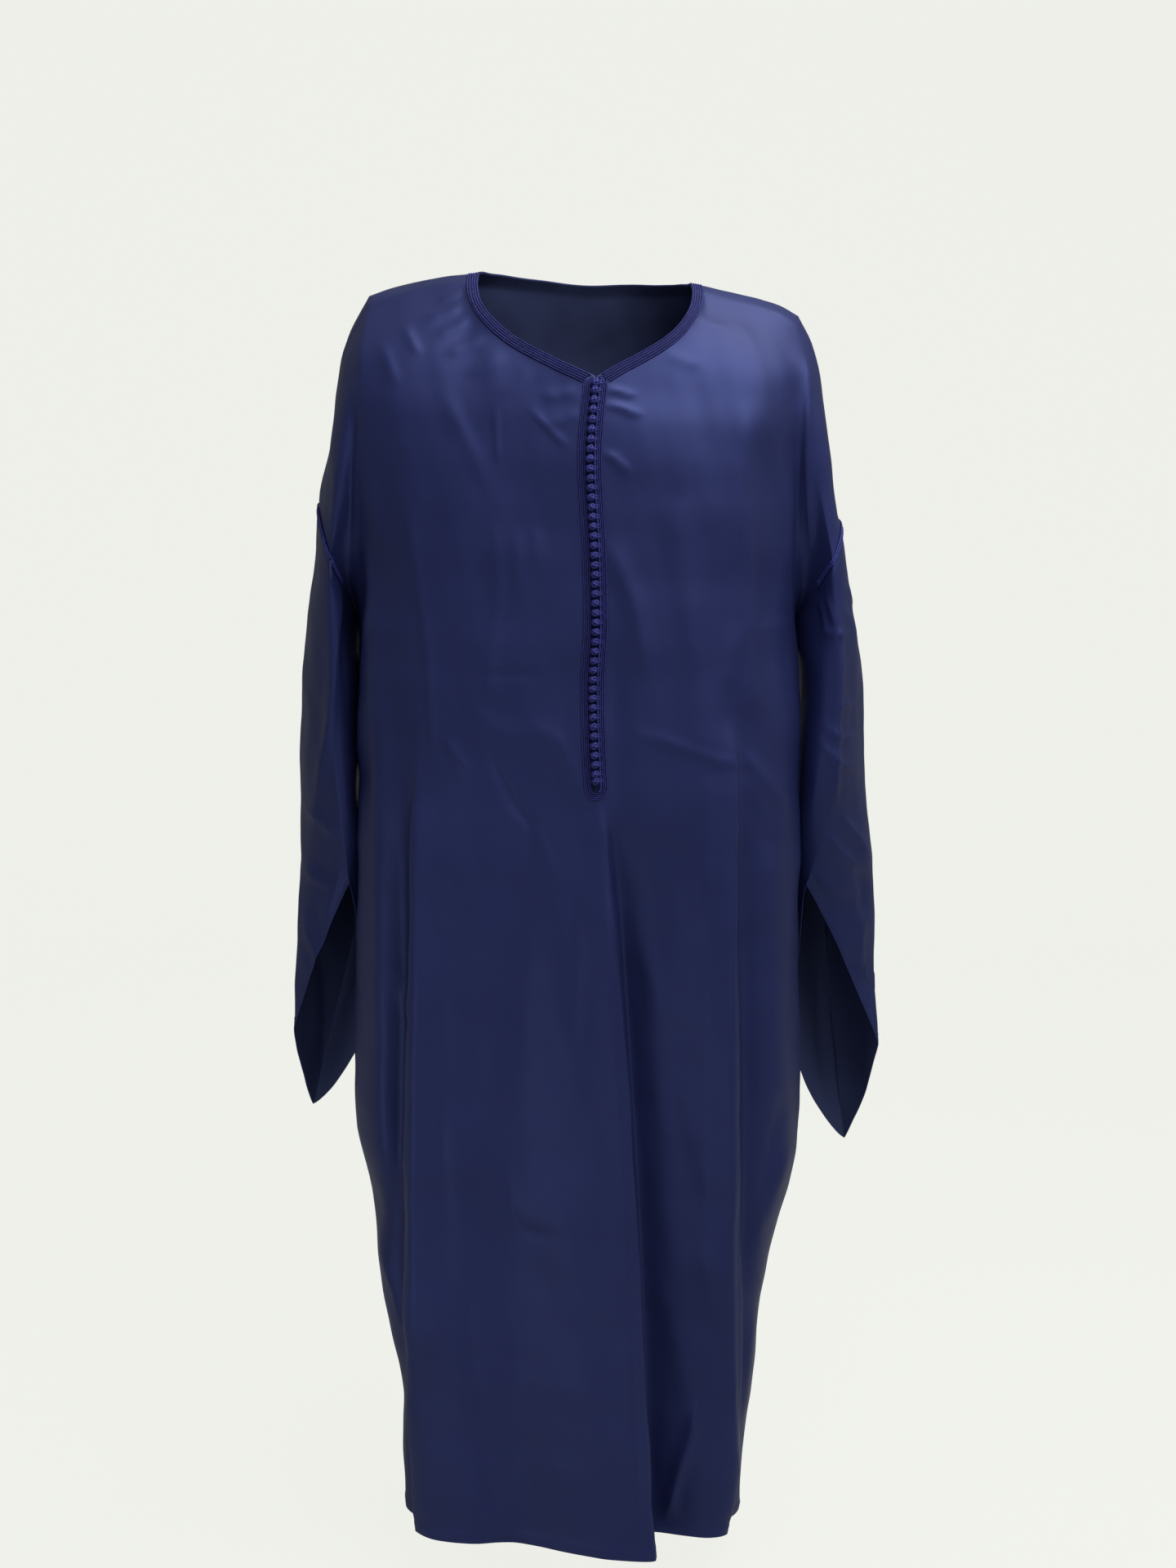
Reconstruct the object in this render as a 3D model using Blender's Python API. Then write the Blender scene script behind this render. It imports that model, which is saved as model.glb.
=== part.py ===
# Djellaba: a long satin robe with dropped shoulders, hollow, in the shape it has when worn.
# Metres, +Z up. The front faces -Y. The origin is at shoulder height, midway between the shoulders.

import math

import bmesh
import bpy
import numpy as np
from mathutils.bvhtree import BVHTree

# Driving dimensions
CLOTH = 0.002             # wall of the satin
SEAM_GAP = 0.0003         # between two sewn pieces
TRIM_GAP = 0.0004         # between a panel and the trim that lies on it, at least
TRIM_CLEARANCE = 0.00025  # kept between them where the panel bends
LAY_STEP = 0.0001         # trim is raised by this until it clears
LAY_PASSES = 40
TURN_BEGINS = 0.75        # cosine of the turn over a seam from which a normal is a piece's own
TURN_RANGE = 0.5
ARMPIT_Z = -0.375
ARMPIT_FOLD_Z = -0.325    # below this the cloth may turn back on itself over the armhole seam
SLIT_END_Z = -0.549
HEM_Z = -1.445
SLIT_WIDTH = 0.0012
BRAID_WIDTH = 0.0135      # from the edge of the neck or slit to the braid's outer edge
BRAID_INNER = 0.0048      # from the middle of the slit to the braid's inner edge
BRAID_EDGE = 0.0007       # height of the braid's edges
BRAID_CROWN = 0.0017      # height of its cords
BRAID_VALLEY = 0.0010     # height between its cords
CORD_REACH = 0.0055       # armhole cords, each side of the seam
CORD_STEPS = 7            # they end this many rows from the top of the armhole, short of the armpit
BUTTON_COUNT = 43
BUTTON_RADIUS = 0.0043
FIRST_BUTTON_Z = -0.1055
LAST_BUTTON_Z = -0.5440
U_DEPTH = 0.0145          # the braid's round end, below the slit
BRAID_START_OUTER = 1.17  # rows of the panel where the slit's braid starts, at its edges
BRAID_START_INNER = 1.05

# Rows and columns of the panels
TOP_ROWS = 10             # shoulder to armpit
SLIT_ROWS = 4             # armpit to the end of the slit
SKIRT_ROWS = 15           # end of the slit to the hem
SLEEVE_RINGS = 12
SIDE_COLUMNS = 5          # armhole, and the side below it
SHOULDER_COLUMNS = 5      # dropped shoulder's corner to the neck
NECK_COLUMNS_LEFT = 9
NECK_COLUMNS_RIGHT = 8
BACK_NECK_COLUMNS = 5
OUTER_COLUMNS = 4         # side of the body to the long fold beside it
FAN_SPREAD = 0.017        # columns beside the neck's ends lean out by this, because its edge runs with them
FAN_REACH = 0.070         # along the edge, each side of the neck's end
ROW_EASE = 1.25           # rows crowd towards the shoulder
SHOULDER_DROP_FRONT = 0.17
SHOULDER_DROP_BACK = 0.14
SHOULDER_ROUND = 1.8      # 2 would be a quarter ellipse
BACK_NECK_RISE = 0.035    # the back would reach this far above the shoulders if the neck were filled
NECK_EASE = 4             # how fast a column comes back to the hanging cloth below the neck's edge
NECK_STRIP = 1.08         # first column beside the slit, in braid widths along the neck's edge
SAMPLE_TOP_Z = 0.030      # rows that give the depth of the cloth above the armpit start here
SAMPLE_ROWS = 10
SECTION_STEPS = 12        # points between two corners of a section
SLEEVE_STEPS = 10         # places between two rings of the sleeve's table
SLOPE_REACH = 0.004       # length over which a section's direction is taken
U_TURNS = 8               # steps round the braid's end

# Body: half widths and depths of the level sections, and the side seam's place across
# z, left, right, front, crease, back, side seam
BODY = [
    (0.030, 0.262, 0.250, 0.135, 0.090, 0.100, 1.030),
    (-0.100, 0.266, 0.238, 0.145, 0.100, 0.115, 1.030),
    (-0.220, 0.266, 0.232, 0.152, 0.080, 0.122, 1.030),
    (-0.375, 0.260, 0.233, 0.158, 0.045, 0.122, 1.030),
    (-0.440, 0.261, 0.237, 0.160, 0.048, 0.120, 0.975),
    (-0.500, 0.265, 0.241, 0.162, 0.050, 0.118, 0.945),
    (-0.700, 0.270, 0.245, 0.165, 0.050, 0.120, 0.945),
    (-0.950, 0.275, 0.251, 0.165, 0.050, 0.132, 0.950),
    (-1.050, 0.256, 0.236, 0.165, 0.052, 0.130, 0.955),
    (-1.180, 0.245, 0.207, 0.166, 0.055, 0.128, 0.955),
    (-1.300, 0.221, 0.195, 0.168, 0.060, 0.126, 0.955),
    (-1.445, 0.214, 0.176, 0.170, 0.062, 0.124, 0.955),
]

# Shape of a section: place across, as a part of the half width
FRONT_MIDDLE = 0.50
FRONT_FLAT = 0.97         # depth there, as a part of the whole
FRONT_CORNER = 0.86
CORNER_OF_FRONT = 0.55    # depth of the corner, from the front's and the crease's
CORNER_OF_CREASE = 0.60
SIDE_SEAM_Y = 0.010
BACK_CREASE = 0.86
BACK_CREASE_Y = 0.075
BACK_CORNER = 0.58
BACK_FLAT = 0.93
BACK_FOLD_GROWTH = 1.6    # the back's folds reach their height before the hem

# Guide lines that the front panel's columns follow
# z, left fold, middle, right fold
GUIDES = [
    (-0.375, -0.185, 0.0085, 0.150),
    (-0.450, -0.187, 0.0050, 0.153),
    (-0.565, -0.190, 0.0100, 0.157),
    (-0.620, -0.191, 0.0190, 0.158),
    (-0.765, -0.195, 0.0270, 0.162),
    (-0.960, -0.203, 0.0400, 0.168),
    (-1.120, -0.204, 0.0490, 0.169),
    (-1.300, -0.195, 0.0575, 0.166),
    (-1.445, -0.193, 0.0640, 0.154),
]

# The slit above the armpit: z, x
SLIT_LINE = [(-0.100, 0.009), (-0.150, 0.004), (-0.200, 0.002), (-0.290, 0.007), (-0.375, 0.0085)]
SLIT_SWAY_REACH = 0.10    # how far from the slit the cloth follows its sway

# Long folds of the front: guide followed, offset from it, start z, full z,
# height at full z, height at the hem, width on the left, width on the right
FRONT_FOLDS = [
    ("left", 0.000, -0.40, -0.85, 0.017, 0.014, 0.014, 0.060),
    ("left", -0.025, -0.42, -0.85, -0.019, -0.008, 0.018, 0.015),
    ("left", 0.120, -0.60, -1.10, -0.010, -0.016, 0.040, 0.045),
    ("middle", 0.000, -0.53, -0.80, 0.018, 0.033, 0.080, 0.011),
    ("middle", 0.024, -0.53, -0.80, -0.026, -0.033, 0.013, 0.055),
    ("right", 0.000, -0.38, -0.85, 0.017, 0.014, 0.034, 0.012),
    ("right", 0.024, -0.40, -0.85, -0.018, -0.008, 0.013, 0.020),
]

# Long folds of the back: x at the armpit, x at the hem, height at the hem, width
BACK_FOLDS = [
    (-0.200, -0.165, 0.018, 0.024),
    (-0.135, -0.110, -0.034, 0.026),
    (-0.060, -0.050, 0.030, 0.032),
    (0.012, 0.020, -0.032, 0.030),
    (0.085, 0.075, 0.028, 0.028),
    (0.150, 0.120, -0.028, 0.024),
]

# Neck edge of the front, from the middle to the shoulder: x, y, z
NECK_LEFT = [
    (0.009, -0.137, -0.100), (-0.036, -0.128, -0.079), (-0.077, -0.113, -0.056), (-0.103, -0.097, -0.036),
    (-0.118, -0.077, -0.017), (-0.1235, -0.048, 0.004), (-0.1237, -0.028, 0.0140), (-0.123, 0.000, 0.020),
]
NECK_RIGHT = [
    (0.009, -0.137, -0.100), (0.032, -0.129, -0.086), (0.062, -0.118, -0.070), (0.085, -0.107, -0.056),
    (0.102, -0.092, -0.040), (0.113, -0.072, -0.022), (0.117, -0.045, -0.004), (0.1168, -0.026, 0.0038),
    (0.1155, 0.000, 0.009),
]
# Neck edge of the back, from the left shoulder to the right: x, y, z
NECK_BACK = [
    (-0.123, 0.000, 0.020), (-0.116, 0.028, 0.023), (-0.092, 0.056, 0.022), (-0.048, 0.073, 0.018),
    (0.000, 0.078, 0.014), (0.044, 0.072, 0.014), (0.084, 0.054, 0.014), (0.105, 0.026, 0.012),
    (0.1155, 0.000, 0.009),
]

# Ridge of the shoulder, from the neck to the dropped corner, and on to the top of the armhole: x, y, z
SHOULDER = {
    "left": [(-0.123, 0.000, 0.020), (-0.172, 0.000, 0.016), (-0.220, 0.000, 0.006), (-0.250, 0.000, -0.004)],
    "right": [(0.1155, 0.000, 0.009), (0.170, 0.000, -0.002), (0.215, 0.000, -0.013), (0.240, 0.000, -0.026)],
}
UPPER_ARM = {
    "left": [(-0.250, 0.000, -0.004), (-0.276, 0.004, -0.050), (-0.288, 0.010, -0.103),
             (-0.297, 0.015, -0.168), (-0.312, 0.020, -0.243)],
    "right": [(0.240, 0.000, -0.026), (0.260, 0.004, -0.064), (0.270, 0.010, -0.117),
              (0.277, 0.015, -0.187), (0.287, 0.020, -0.262)],
}

# Sleeves: four corners of each ring, as distance out from the middle plane, y, z, and how
# straight the cloth runs between them (1 round, 2 straight) on the outer and on the inner half.
# The first ring's inner corner is the top of the side seam.
# inner, front, outer, back, outer straightness, inner straightness
SLEEVE_LEFT = [
    (None, (0.291, -0.078, -0.3), (0.312, 0.02, -0.243), (0.288, 0.12, -0.3), 0.98, 1.75),
    ((0.272, 0.022, -0.44), (0.291, -0.074, -0.415), (0.331, 0.022, -0.395), (0.283, 0.128, -0.42), 1.25, 0.95),
    ((0.276, 0.012, -0.57), (0.29, -0.072, -0.54), (0.342, 0.022, -0.54), (0.284, 0.13, -0.56), 1.3, 0.85),
    ((0.279, 0.03, -0.7), (0.284, -0.058, -0.622), (0.345, 0.022, -0.69), (0.292, 0.122, -0.735), 1.45, 0.95),
    ((0.282, 0.052, -0.9), (0.28, -0.04, -0.682), (0.356, 0.02, -0.872), (0.344, 0.084, -0.986), 1.75, 1.55),
]
SLEEVE_RIGHT = [
    (None, (0.277, -0.074, -0.305), (0.287, 0.02, -0.262), (0.264, 0.118, -0.31), 1.0, 1.75),
    ((0.246, 0.02, -0.445), (0.285, -0.072, -0.415), (0.319, 0.03, -0.41), (0.278, 0.122, -0.425), 1.25, 0.9),
    ((0.248, -0.004, -0.58), (0.284, -0.071, -0.54), (0.33, 0.028, -0.552), (0.286, 0.126, -0.565), 1.3, 0.8),
    ((0.248, 0.03, -0.71), (0.274, -0.058, -0.622), (0.342, 0.024, -0.7), (0.297, 0.12, -0.745), 1.45, 0.95),
    ((0.262, 0.052, -0.93), (0.256, -0.038, -0.684), (0.352, 0.02, -0.892), (0.322, 0.084, -1.03), 1.75, 1.55),
]
SLEEVES = {"left": SLEEVE_LEFT, "right": SLEEVE_RIGHT}

# Colours, base and roughness
SATIN = ((0.022, 0.026, 0.105, 1.0), 0.38)
BRAID = ((0.030, 0.034, 0.165, 1.0), 0.55)
BUTTON = ((0.034, 0.038, 0.170, 1.0), 0.50)

OUT = {"left": -1.0, "right": 1.0}


# Curves

def smooth_curve(points, steps=12, closed=False):
    # Catmull-Rom curve through the points, with steps pieces to a span
    points = np.array(points, dtype=float)
    if closed:
        padded = np.vstack([points[-1:], points, points[:2]])
    else:
        padded = np.vstack([2 * points[0] - points[1], points, 2 * points[-1] - points[-2]])
    curve = []
    for k in range(1, len(padded) - 2):
        before, start, end, after = padded[k - 1:k + 3]
        for t in np.arange(steps) / steps:
            curve.append(0.5 * (2 * start + (end - before) * t
                                + (2 * before - 5 * start + 4 * end - after) * t ** 2
                                + (3 * start - before - 3 * end + after) * t ** 3))
    if not closed:
        curve.append(points[-1])
    return np.array(curve)


def unit(vector):
    return vector / np.linalg.norm(vector)


def arc_lengths(curve):
    steps = np.linalg.norm(np.diff(curve, axis=0), axis=1)
    return np.concatenate([[0.0], np.cumsum(steps)])


def points_along(curve, lengths):
    arcs = arc_lengths(curve)
    return np.stack([np.interp(lengths, arcs, curve[:, k]) for k in range(curve.shape[1])], axis=1)


def evenly(curve, count):
    return points_along(curve, np.linspace(0.0, arc_lengths(curve)[-1], count + 1))


def from_table(table, z):
    # a row of the table at height z, without its first column; the table runs downwards
    heights = [-row[0] for row in table]
    return [float(np.interp(-z, heights, [row[k] for row in table])) for k in range(1, len(table[0]))]


def ease(value):
    value = min(max(value, 0.0), 1.0)
    return value * value * (3.0 - 2.0 * value)


# Level sections of the body

class Section:
    # one level section: the front from the left side seam to the right one, and the back
    # from the right side seam to the left one
    def __init__(self, z):
        left, right, front, crease, back, side_seam = from_table(BODY, z)
        corner = CORNER_OF_FRONT * front + CORNER_OF_CREASE * crease
        ring = [
            (-side_seam * left, SIDE_SEAM_Y), (-left, -crease), (-FRONT_CORNER * left, -corner),
            (-FRONT_MIDDLE * left, -FRONT_FLAT * front), (0.0, -front),
            (FRONT_MIDDLE * right, -FRONT_FLAT * front), (FRONT_CORNER * right, -corner),
            (right, -crease), (side_seam * right, SIDE_SEAM_Y),
            (BACK_CREASE * right, BACK_CREASE_Y), (BACK_CORNER * right, BACK_FLAT * back), (0.0, back),
            (-BACK_CORNER * left, BACK_FLAT * back), (-BACK_CREASE * left, BACK_CREASE_Y),
        ]
        steps = SECTION_STEPS
        curve = smooth_curve(ring, steps, closed=True)
        self.front = curve[:8 * steps + 1]
        self.back = np.vstack([curve[8 * steps:], curve[:1]])
        self.front_arcs = arc_lengths(self.front)
        self.back_arcs = arc_lengths(self.back)
        self.front_creases = (self.front_arcs[steps], self.front_arcs[7 * steps])
        self.back_creases = (self.back_arcs[steps], self.back_arcs[5 * steps])

    def arc_at_x(self, x):
        # on the front, between the two creases, x only grows
        inside = (self.front_arcs >= self.front_creases[0]) & (self.front_arcs <= self.front_creases[1])
        return float(np.interp(x, self.front[inside][:, 0], self.front_arcs[inside]))

    def back_arc_at_x(self, x):
        inside = (self.back_arcs >= self.back_creases[0]) & (self.back_arcs <= self.back_creases[1])
        return float(np.interp(-x, -self.back[inside][:, 0], self.back_arcs[inside]))


def between(stops, counts):
    # arc lengths that split each stretch between two stops into equal steps
    values = [stops[0]]
    for start, end, count in zip(stops[:-1], stops[1:], counts):
        values += list(start + (end - start) * np.arange(1, count + 1) / count)
    return np.array(values)


FRONT_COUNTS = [
    SIDE_COLUMNS, OUTER_COLUMNS, SHOULDER_COLUMNS + NECK_COLUMNS_LEFT - OUTER_COLUMNS, 1,
    1, SHOULDER_COLUMNS + NECK_COLUMNS_RIGHT - OUTER_COLUMNS, OUTER_COLUMNS, SIDE_COLUMNS,
]
BACK_COUNTS = [
    SIDE_COLUMNS, SHOULDER_COLUMNS + BACK_NECK_COLUMNS, SHOULDER_COLUMNS + BACK_NECK_COLUMNS, SIDE_COLUMNS,
]
MIDDLE_COLUMN = sum(FRONT_COUNTS[:4])


def front_columns(section, z):
    left_fold, middle, right_fold = from_table(GUIDES, z)
    stops = [
        0.0, section.front_creases[0], section.arc_at_x(left_fold), section.arc_at_x(middle - BRAID_WIDTH),
        section.arc_at_x(middle), section.arc_at_x(middle + BRAID_WIDTH), section.arc_at_x(right_fold),
        section.front_creases[1], section.front_arcs[-1],
    ]
    return between(stops, FRONT_COUNTS)


def back_columns(section):
    stops = [0.0, section.back_creases[0], section.back_arc_at_x(0.0), section.back_creases[1],
             section.back_arcs[-1]]
    return between(stops, BACK_COUNTS)


def bump(distance, left_width, right_width):
    width = np.where(distance < 0.0, left_width, right_width)
    return np.exp(-(distance / width) ** 2)


def front_relief(section, arcs, z):
    # how far the long folds lift the front, along its outward direction
    guides = dict(zip(("left", "middle", "right"), from_table(GUIDES, z)))
    lift = np.zeros(len(arcs))
    for guide, offset, start, full, height, hem_height, left_width, right_width in FRONT_FOLDS:
        grown = height * ease((start - z) / (start - full))
        if z < full:
            grown += (hem_height - height) * (full - z) / (full - HEM_Z)
        place = section.arc_at_x(guides[guide]) + offset
        lift += grown * bump(arcs - place, left_width, right_width)
    return lift


def back_relief(section, arcs, z):
    lift = np.zeros(len(arcs))
    down = (ARMPIT_Z - z) / (ARMPIT_Z - HEM_Z)
    for x_top, x_hem, height, width in BACK_FOLDS:
        place = section.back_arc_at_x(x_top + (x_hem - x_top) * down)
        lift += height * ease(BACK_FOLD_GROWTH * down) * bump(arcs - place, width, width)
    return lift


def lifted(curve, arcs_of_curve, arcs, lift):
    # points on a level section, moved out square to it
    points = np.stack([np.interp(arcs, arcs_of_curve, curve[:, k]) for k in (0, 1)], axis=1)
    ahead = np.stack([np.interp(arcs + SLOPE_REACH, arcs_of_curve, curve[:, k]) for k in (0, 1)], axis=1)
    behind = np.stack([np.interp(arcs - SLOPE_REACH, arcs_of_curve, curve[:, k]) for k in (0, 1)], axis=1)
    along = ahead - behind
    along /= np.linalg.norm(along, axis=1)[:, None]
    outward = np.stack([along[:, 1], -along[:, 0]], axis=1)
    return points + outward * lift[:, None]


def front_row(z):
    section = Section(z)
    arcs = front_columns(section, z)
    plan = lifted(section.front, section.front_arcs, arcs, front_relief(section, arcs, z))
    return np.column_stack([plan, np.full(len(plan), z)])


def back_row(z):
    section = Section(z)
    arcs = back_columns(section)
    plan = lifted(section.back, section.back_arcs, arcs, back_relief(section, arcs, z))
    return np.column_stack([plan, np.full(len(plan), z)])


# Rings of the sleeves

def sleeve_corners(side, place):
    # four corners of the ring at place, from 0 at the armhole to 1 at the cuff
    rows = []
    for inner, front, outer, back, outer_half, inner_half in SLEEVES[side]:
        if inner is None:
            edge = front_row(ARMPIT_Z)[0 if side == "left" else -1]
            inner = (abs(edge[0]), edge[1], edge[2])
        rows.append(np.concatenate([inner, front, outer, back, [outer_half, inner_half]]))
    curve = smooth_curve(rows, SLEEVE_STEPS)
    spot = place * (len(curve) - 1)
    return np.array([np.interp(spot, np.arange(len(curve)), curve[:, k]) for k in range(curve.shape[1])])


def quarter(start, end, centre, count, straightness):
    # from one corner towards the next, without the last point
    points = []
    for step in range(count):
        turn = 0.5 * math.pi * step / count
        points.append(centre + (start - centre) * math.cos(turn) ** straightness
                      + (end - centre) * math.sin(turn) ** straightness)
    return points


def sleeve_ring(side, place):
    # from the outer corner over the front to the inner one, and back behind the arm
    values = sleeve_corners(side, place)
    inner, front, outer, back = values[0:3], values[3:6], values[6:9], values[9:12]
    centre = 0.5 * (inner + outer)
    count = TOP_ROWS // 2
    ring = []
    for start, end, straightness in (
        (outer, front, values[12]), (front, inner, values[13]),
        (inner, back, values[13]), (back, outer, values[12]),
    ):
        ring += quarter(start, end, centre, count, straightness)
    ring = np.array(ring)
    ring[:, 0] *= OUT[side]
    return ring


# Top of the body

def rounded_drop(drop, height):
    # 0 at the ridge of the shoulder, 1 where the cloth hangs straight
    left_over = 1.0 - min(drop / height, 1.0)
    return (1.0 - left_over ** SHOULDER_ROUND) ** (1.0 / SHOULDER_ROUND)


def row_parts(lengths):
    # a first row as wide as the neck braid, then rows that grow; one column of parts to a length
    parts = np.zeros((TOP_ROWS + 1, len(lengths)))
    parts[1] = BRAID_WIDTH / lengths
    for row in range(2, TOP_ROWS + 1):
        parts[row] = (row / TOP_ROWS) ** ROW_EASE
    return parts


def depths_at(samples, x, z):
    # how far out the hanging cloth is at the points x, z, from its sampled rows
    by_row = []
    for row in samples:
        order = np.argsort(row[:, 0])
        by_row.append(np.interp(x, row[order, 0], row[order, 1]))
    heights = [-row[0, 2] for row in samples]
    return np.array([np.interp(-z[k], heights, [row[k] for row in by_row]) for k in range(len(x))])


def front_top_edge():
    # from the left shoulder's corner over the neck to the right one's
    left_shoulder = evenly(smooth_curve(SHOULDER["left"][::-1]), SHOULDER_COLUMNS)
    right_shoulder = evenly(smooth_curve(SHOULDER["right"]), SHOULDER_COLUMNS)
    halves = []
    for table, count in ((NECK_LEFT, NECK_COLUMNS_LEFT), (NECK_RIGHT, NECK_COLUMNS_RIGHT)):
        curve = smooth_curve(table)
        total = arc_lengths(curve)[-1]
        lengths = np.concatenate([[0.0], np.linspace(NECK_STRIP * BRAID_WIDTH, total, count + 1)])
        halves.append(points_along(curve, lengths))
    left_neck, right_neck = halves
    return np.vstack([left_shoulder[:-1], left_neck[::-1], right_neck[1:], right_shoulder[1:]])


def back_top_edge():
    # from the right shoulder's corner to the left one's
    right_shoulder = evenly(smooth_curve(SHOULDER["right"][::-1]), SHOULDER_COLUMNS)
    left_shoulder = evenly(smooth_curve(SHOULDER["left"]), SHOULDER_COLUMNS)
    neck = evenly(smooth_curve(NECK_BACK), 2 * BACK_NECK_COLUMNS)[::-1]
    return np.vstack([right_shoulder[:-1], neck, left_shoulder[1:]])


def coons(top, bottom, inner, outer):
    # a patch between four edges; top and bottom run outwards, inner and outer run down
    rows, columns = len(inner), len(top)
    patch = np.zeros((rows, columns, 3))
    for i in range(rows):
        v = i / (rows - 1)
        for j in range(columns):
            u = j / (columns - 1)
            across = (1 - v) * top[j] + v * bottom[j]
            down = (1 - u) * inner[i] + u * outer[i]
            corners = ((1 - u) * (1 - v) * top[0] + u * (1 - v) * top[-1]
                       + (1 - u) * v * bottom[0] + u * v * bottom[-1])
            patch[i, j] = across + down - corners
    return patch


def slit_x(z):
    return float(np.interp(-z, [-row[0] for row in SLIT_LINE], [row[1] for row in SLIT_LINE]))


def fanned(x, top_edge):
    # beside the neck's ends the columns fan out, because the neck's edge runs along with them
    arcs = arc_lengths(top_edge)
    fading = 1.0 - np.arange(len(x))[:, None] / TOP_ROWS
    fading[0] = 0.0
    for end, out in ((SHOULDER_COLUMNS, -1.0), (len(top_edge) - SHOULDER_COLUMNS - 1, 1.0)):
        out *= math.copysign(1.0, top_edge[-1, 0] - top_edge[0, 0])
        x = x + out * FAN_SPREAD * fading * np.exp(-((arcs - arcs[end]) / FAN_REACH) ** 2)
    return x


def ridge_line(top_edge, is_front):
    # the line that the cloth falls from: the shoulders, and between them where the neck is cut
    first, last = SHOULDER_COLUMNS, len(top_edge) - SHOULDER_COLUMNS - 1
    span = np.linspace(0.0, 1.0, NECK_COLUMNS_LEFT + NECK_COLUMNS_RIGHT)
    across = top_edge[first] + (top_edge[last] - top_edge[first]) * span[:, None]
    if not is_front:
        across[:, 2] += BACK_NECK_RISE * np.sin(math.pi * span)
    line = np.vstack([top_edge[:first], across, top_edge[last + 1:]])
    return line[np.argsort(line[:, 0])]


def panel_top(top_edge, bottom_row, samples, height, is_front):
    # the middle of a panel, from the shoulder or neck edge down to the armpit's level: the
    # cloth rounds over the shoulder's ridge, and starts from the edge itself
    bottom = bottom_row[SIDE_COLUMNS:SIDE_COLUMNS + len(top_edge)]
    parts = row_parts(np.linalg.norm(bottom - top_edge, axis=1))
    z = top_edge[:, 2] + (bottom[:, 2] - top_edge[:, 2]) * parts
    x = fanned(top_edge[:, 0] + (bottom[:, 0] - top_edge[:, 0]) * parts, top_edge)
    if is_front:
        middle = MIDDLE_COLUMN - SIDE_COLUMNS
        for i in range(1, len(x)):
            sway = slit_x(z[i, middle]) - x[i, middle]
            away = np.abs(x[i] - x[i, middle])
            x[i] += sway * np.array([1.0 - ease(a / SLIT_SWAY_REACH) for a in away])
    ridge = ridge_line(top_edge, is_front)
    block = np.zeros(x.shape + (3,))
    for i in range(len(x)):
        ridge_z = np.maximum(np.interp(x[i], ridge[:, 0], ridge[:, 2]), z[i])
        fall = np.array([rounded_drop(drop, height) for drop in ridge_z - z[i]])
        y = depths_at(samples, x[i], z[i]) * fall
        if i == 0:
            start = y
        y = y + (top_edge[:, 1] - start) * (1.0 - parts[i]) ** NECK_EASE
        block[i] = np.column_stack([x[i], y, z[i]])
    block[-1] = bottom
    return block


def panel_points(row_at, top_edge, height, is_front):
    # all points of a panel: rows from the shoulder to the hem, columns from side to side
    slit_rows = np.linspace(ARMPIT_Z, SLIT_END_Z, SLIT_ROWS + 1)
    skirt_rows = np.linspace(SLIT_END_Z, HEM_Z, SKIRT_ROWS + 1)[1:]
    lower = [row_at(z) for z in np.concatenate([slit_rows, skirt_rows])]
    sample_rows = [row_at(z) for z in np.linspace(SAMPLE_TOP_Z, ARMPIT_Z, SAMPLE_ROWS)]
    middle = panel_top(top_edge, lower[0], sample_rows, height, is_front)
    first_side, last_side = ("left", "right") if is_front else ("right", "left")
    caps = []
    for side, inner, bottom in (
        (first_side, middle[:, 0], lower[0][:SIDE_COLUMNS + 1][::-1]),
        (last_side, middle[:, -1], lower[0][-SIDE_COLUMNS - 1:]),
    ):
        ring = sleeve_ring(side, 0.0)
        seam = ring[:TOP_ROWS + 1] if is_front else np.vstack([ring[:1], ring[TOP_ROWS:][::-1]])
        caps.append(coons(evenly(smooth_curve(UPPER_ARM[side]), SIDE_COLUMNS), bottom, inner, seam))
    top = np.concatenate([caps[0][:, ::-1][:, :-1], middle, caps[1][:, 1:]], axis=1)
    return np.concatenate([top, np.stack(lower[1:])], axis=0)


# Meshes

def grid_triangles(ids, mirrored_from=None):
    # two triangles to a cell, split the other way from the column mirrored_from on
    faces = []
    for i in range(ids.shape[0] - 1):
        for j in range(ids.shape[1] - 1):
            a, b, c, d = ids[i, j], ids[i + 1, j], ids[i + 1, j + 1], ids[i, j + 1]
            if mirrored_from is not None and j >= mirrored_from:
                faces += [(a, b, d), (b, c, d)]
            else:
                faces += [(a, b, c), (a, c, d)]
    return faces


def outline_edges(faces):
    # edges that only one face uses, in that face's direction
    count = {}
    for face in faces:
        for start, end in zip(face, face[1:] + face[:1]):
            count[(start, end)] = count.get((start, end), 0) + 1
    return [edge for edge in count if (edge[1], edge[0]) not in count]


def make_object(name, vertices, faces, material, collection):
    mesh = bpy.data.meshes.new(name)
    mesh.from_pydata([tuple(v) for v in vertices], [], faces)
    work = bmesh.new()
    work.from_mesh(mesh)
    bmesh.ops.recalc_face_normals(work, faces=work.faces)
    work.to_mesh(mesh)
    work.free()
    mesh.shade_smooth()
    mesh.materials.append(material)
    item = bpy.data.objects.new(name, mesh)
    collection.objects.link(item)
    return item


def cloth_wall(name, outer, normals, faces, material, collection):
    # the outer skin, an inner one a wall's thickness inside it, and the rims between them
    count = len(outer)
    vertices = np.vstack([outer, outer - CLOTH * normals])
    walls = list(faces)
    walls += [tuple(count + index for index in reversed(face)) for face in faces]
    for start, end in outline_edges(faces):
        if tuple(np.round(vertices[start], 3)) < tuple(np.round(vertices[end], 3)):
            walls += [(end, start, count + start), (end, count + start, count + end)]
        else:
            walls += [(end, start, count + end), (start, count + start, count + end)]
    return make_object(name, vertices, walls, material, collection)


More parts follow.
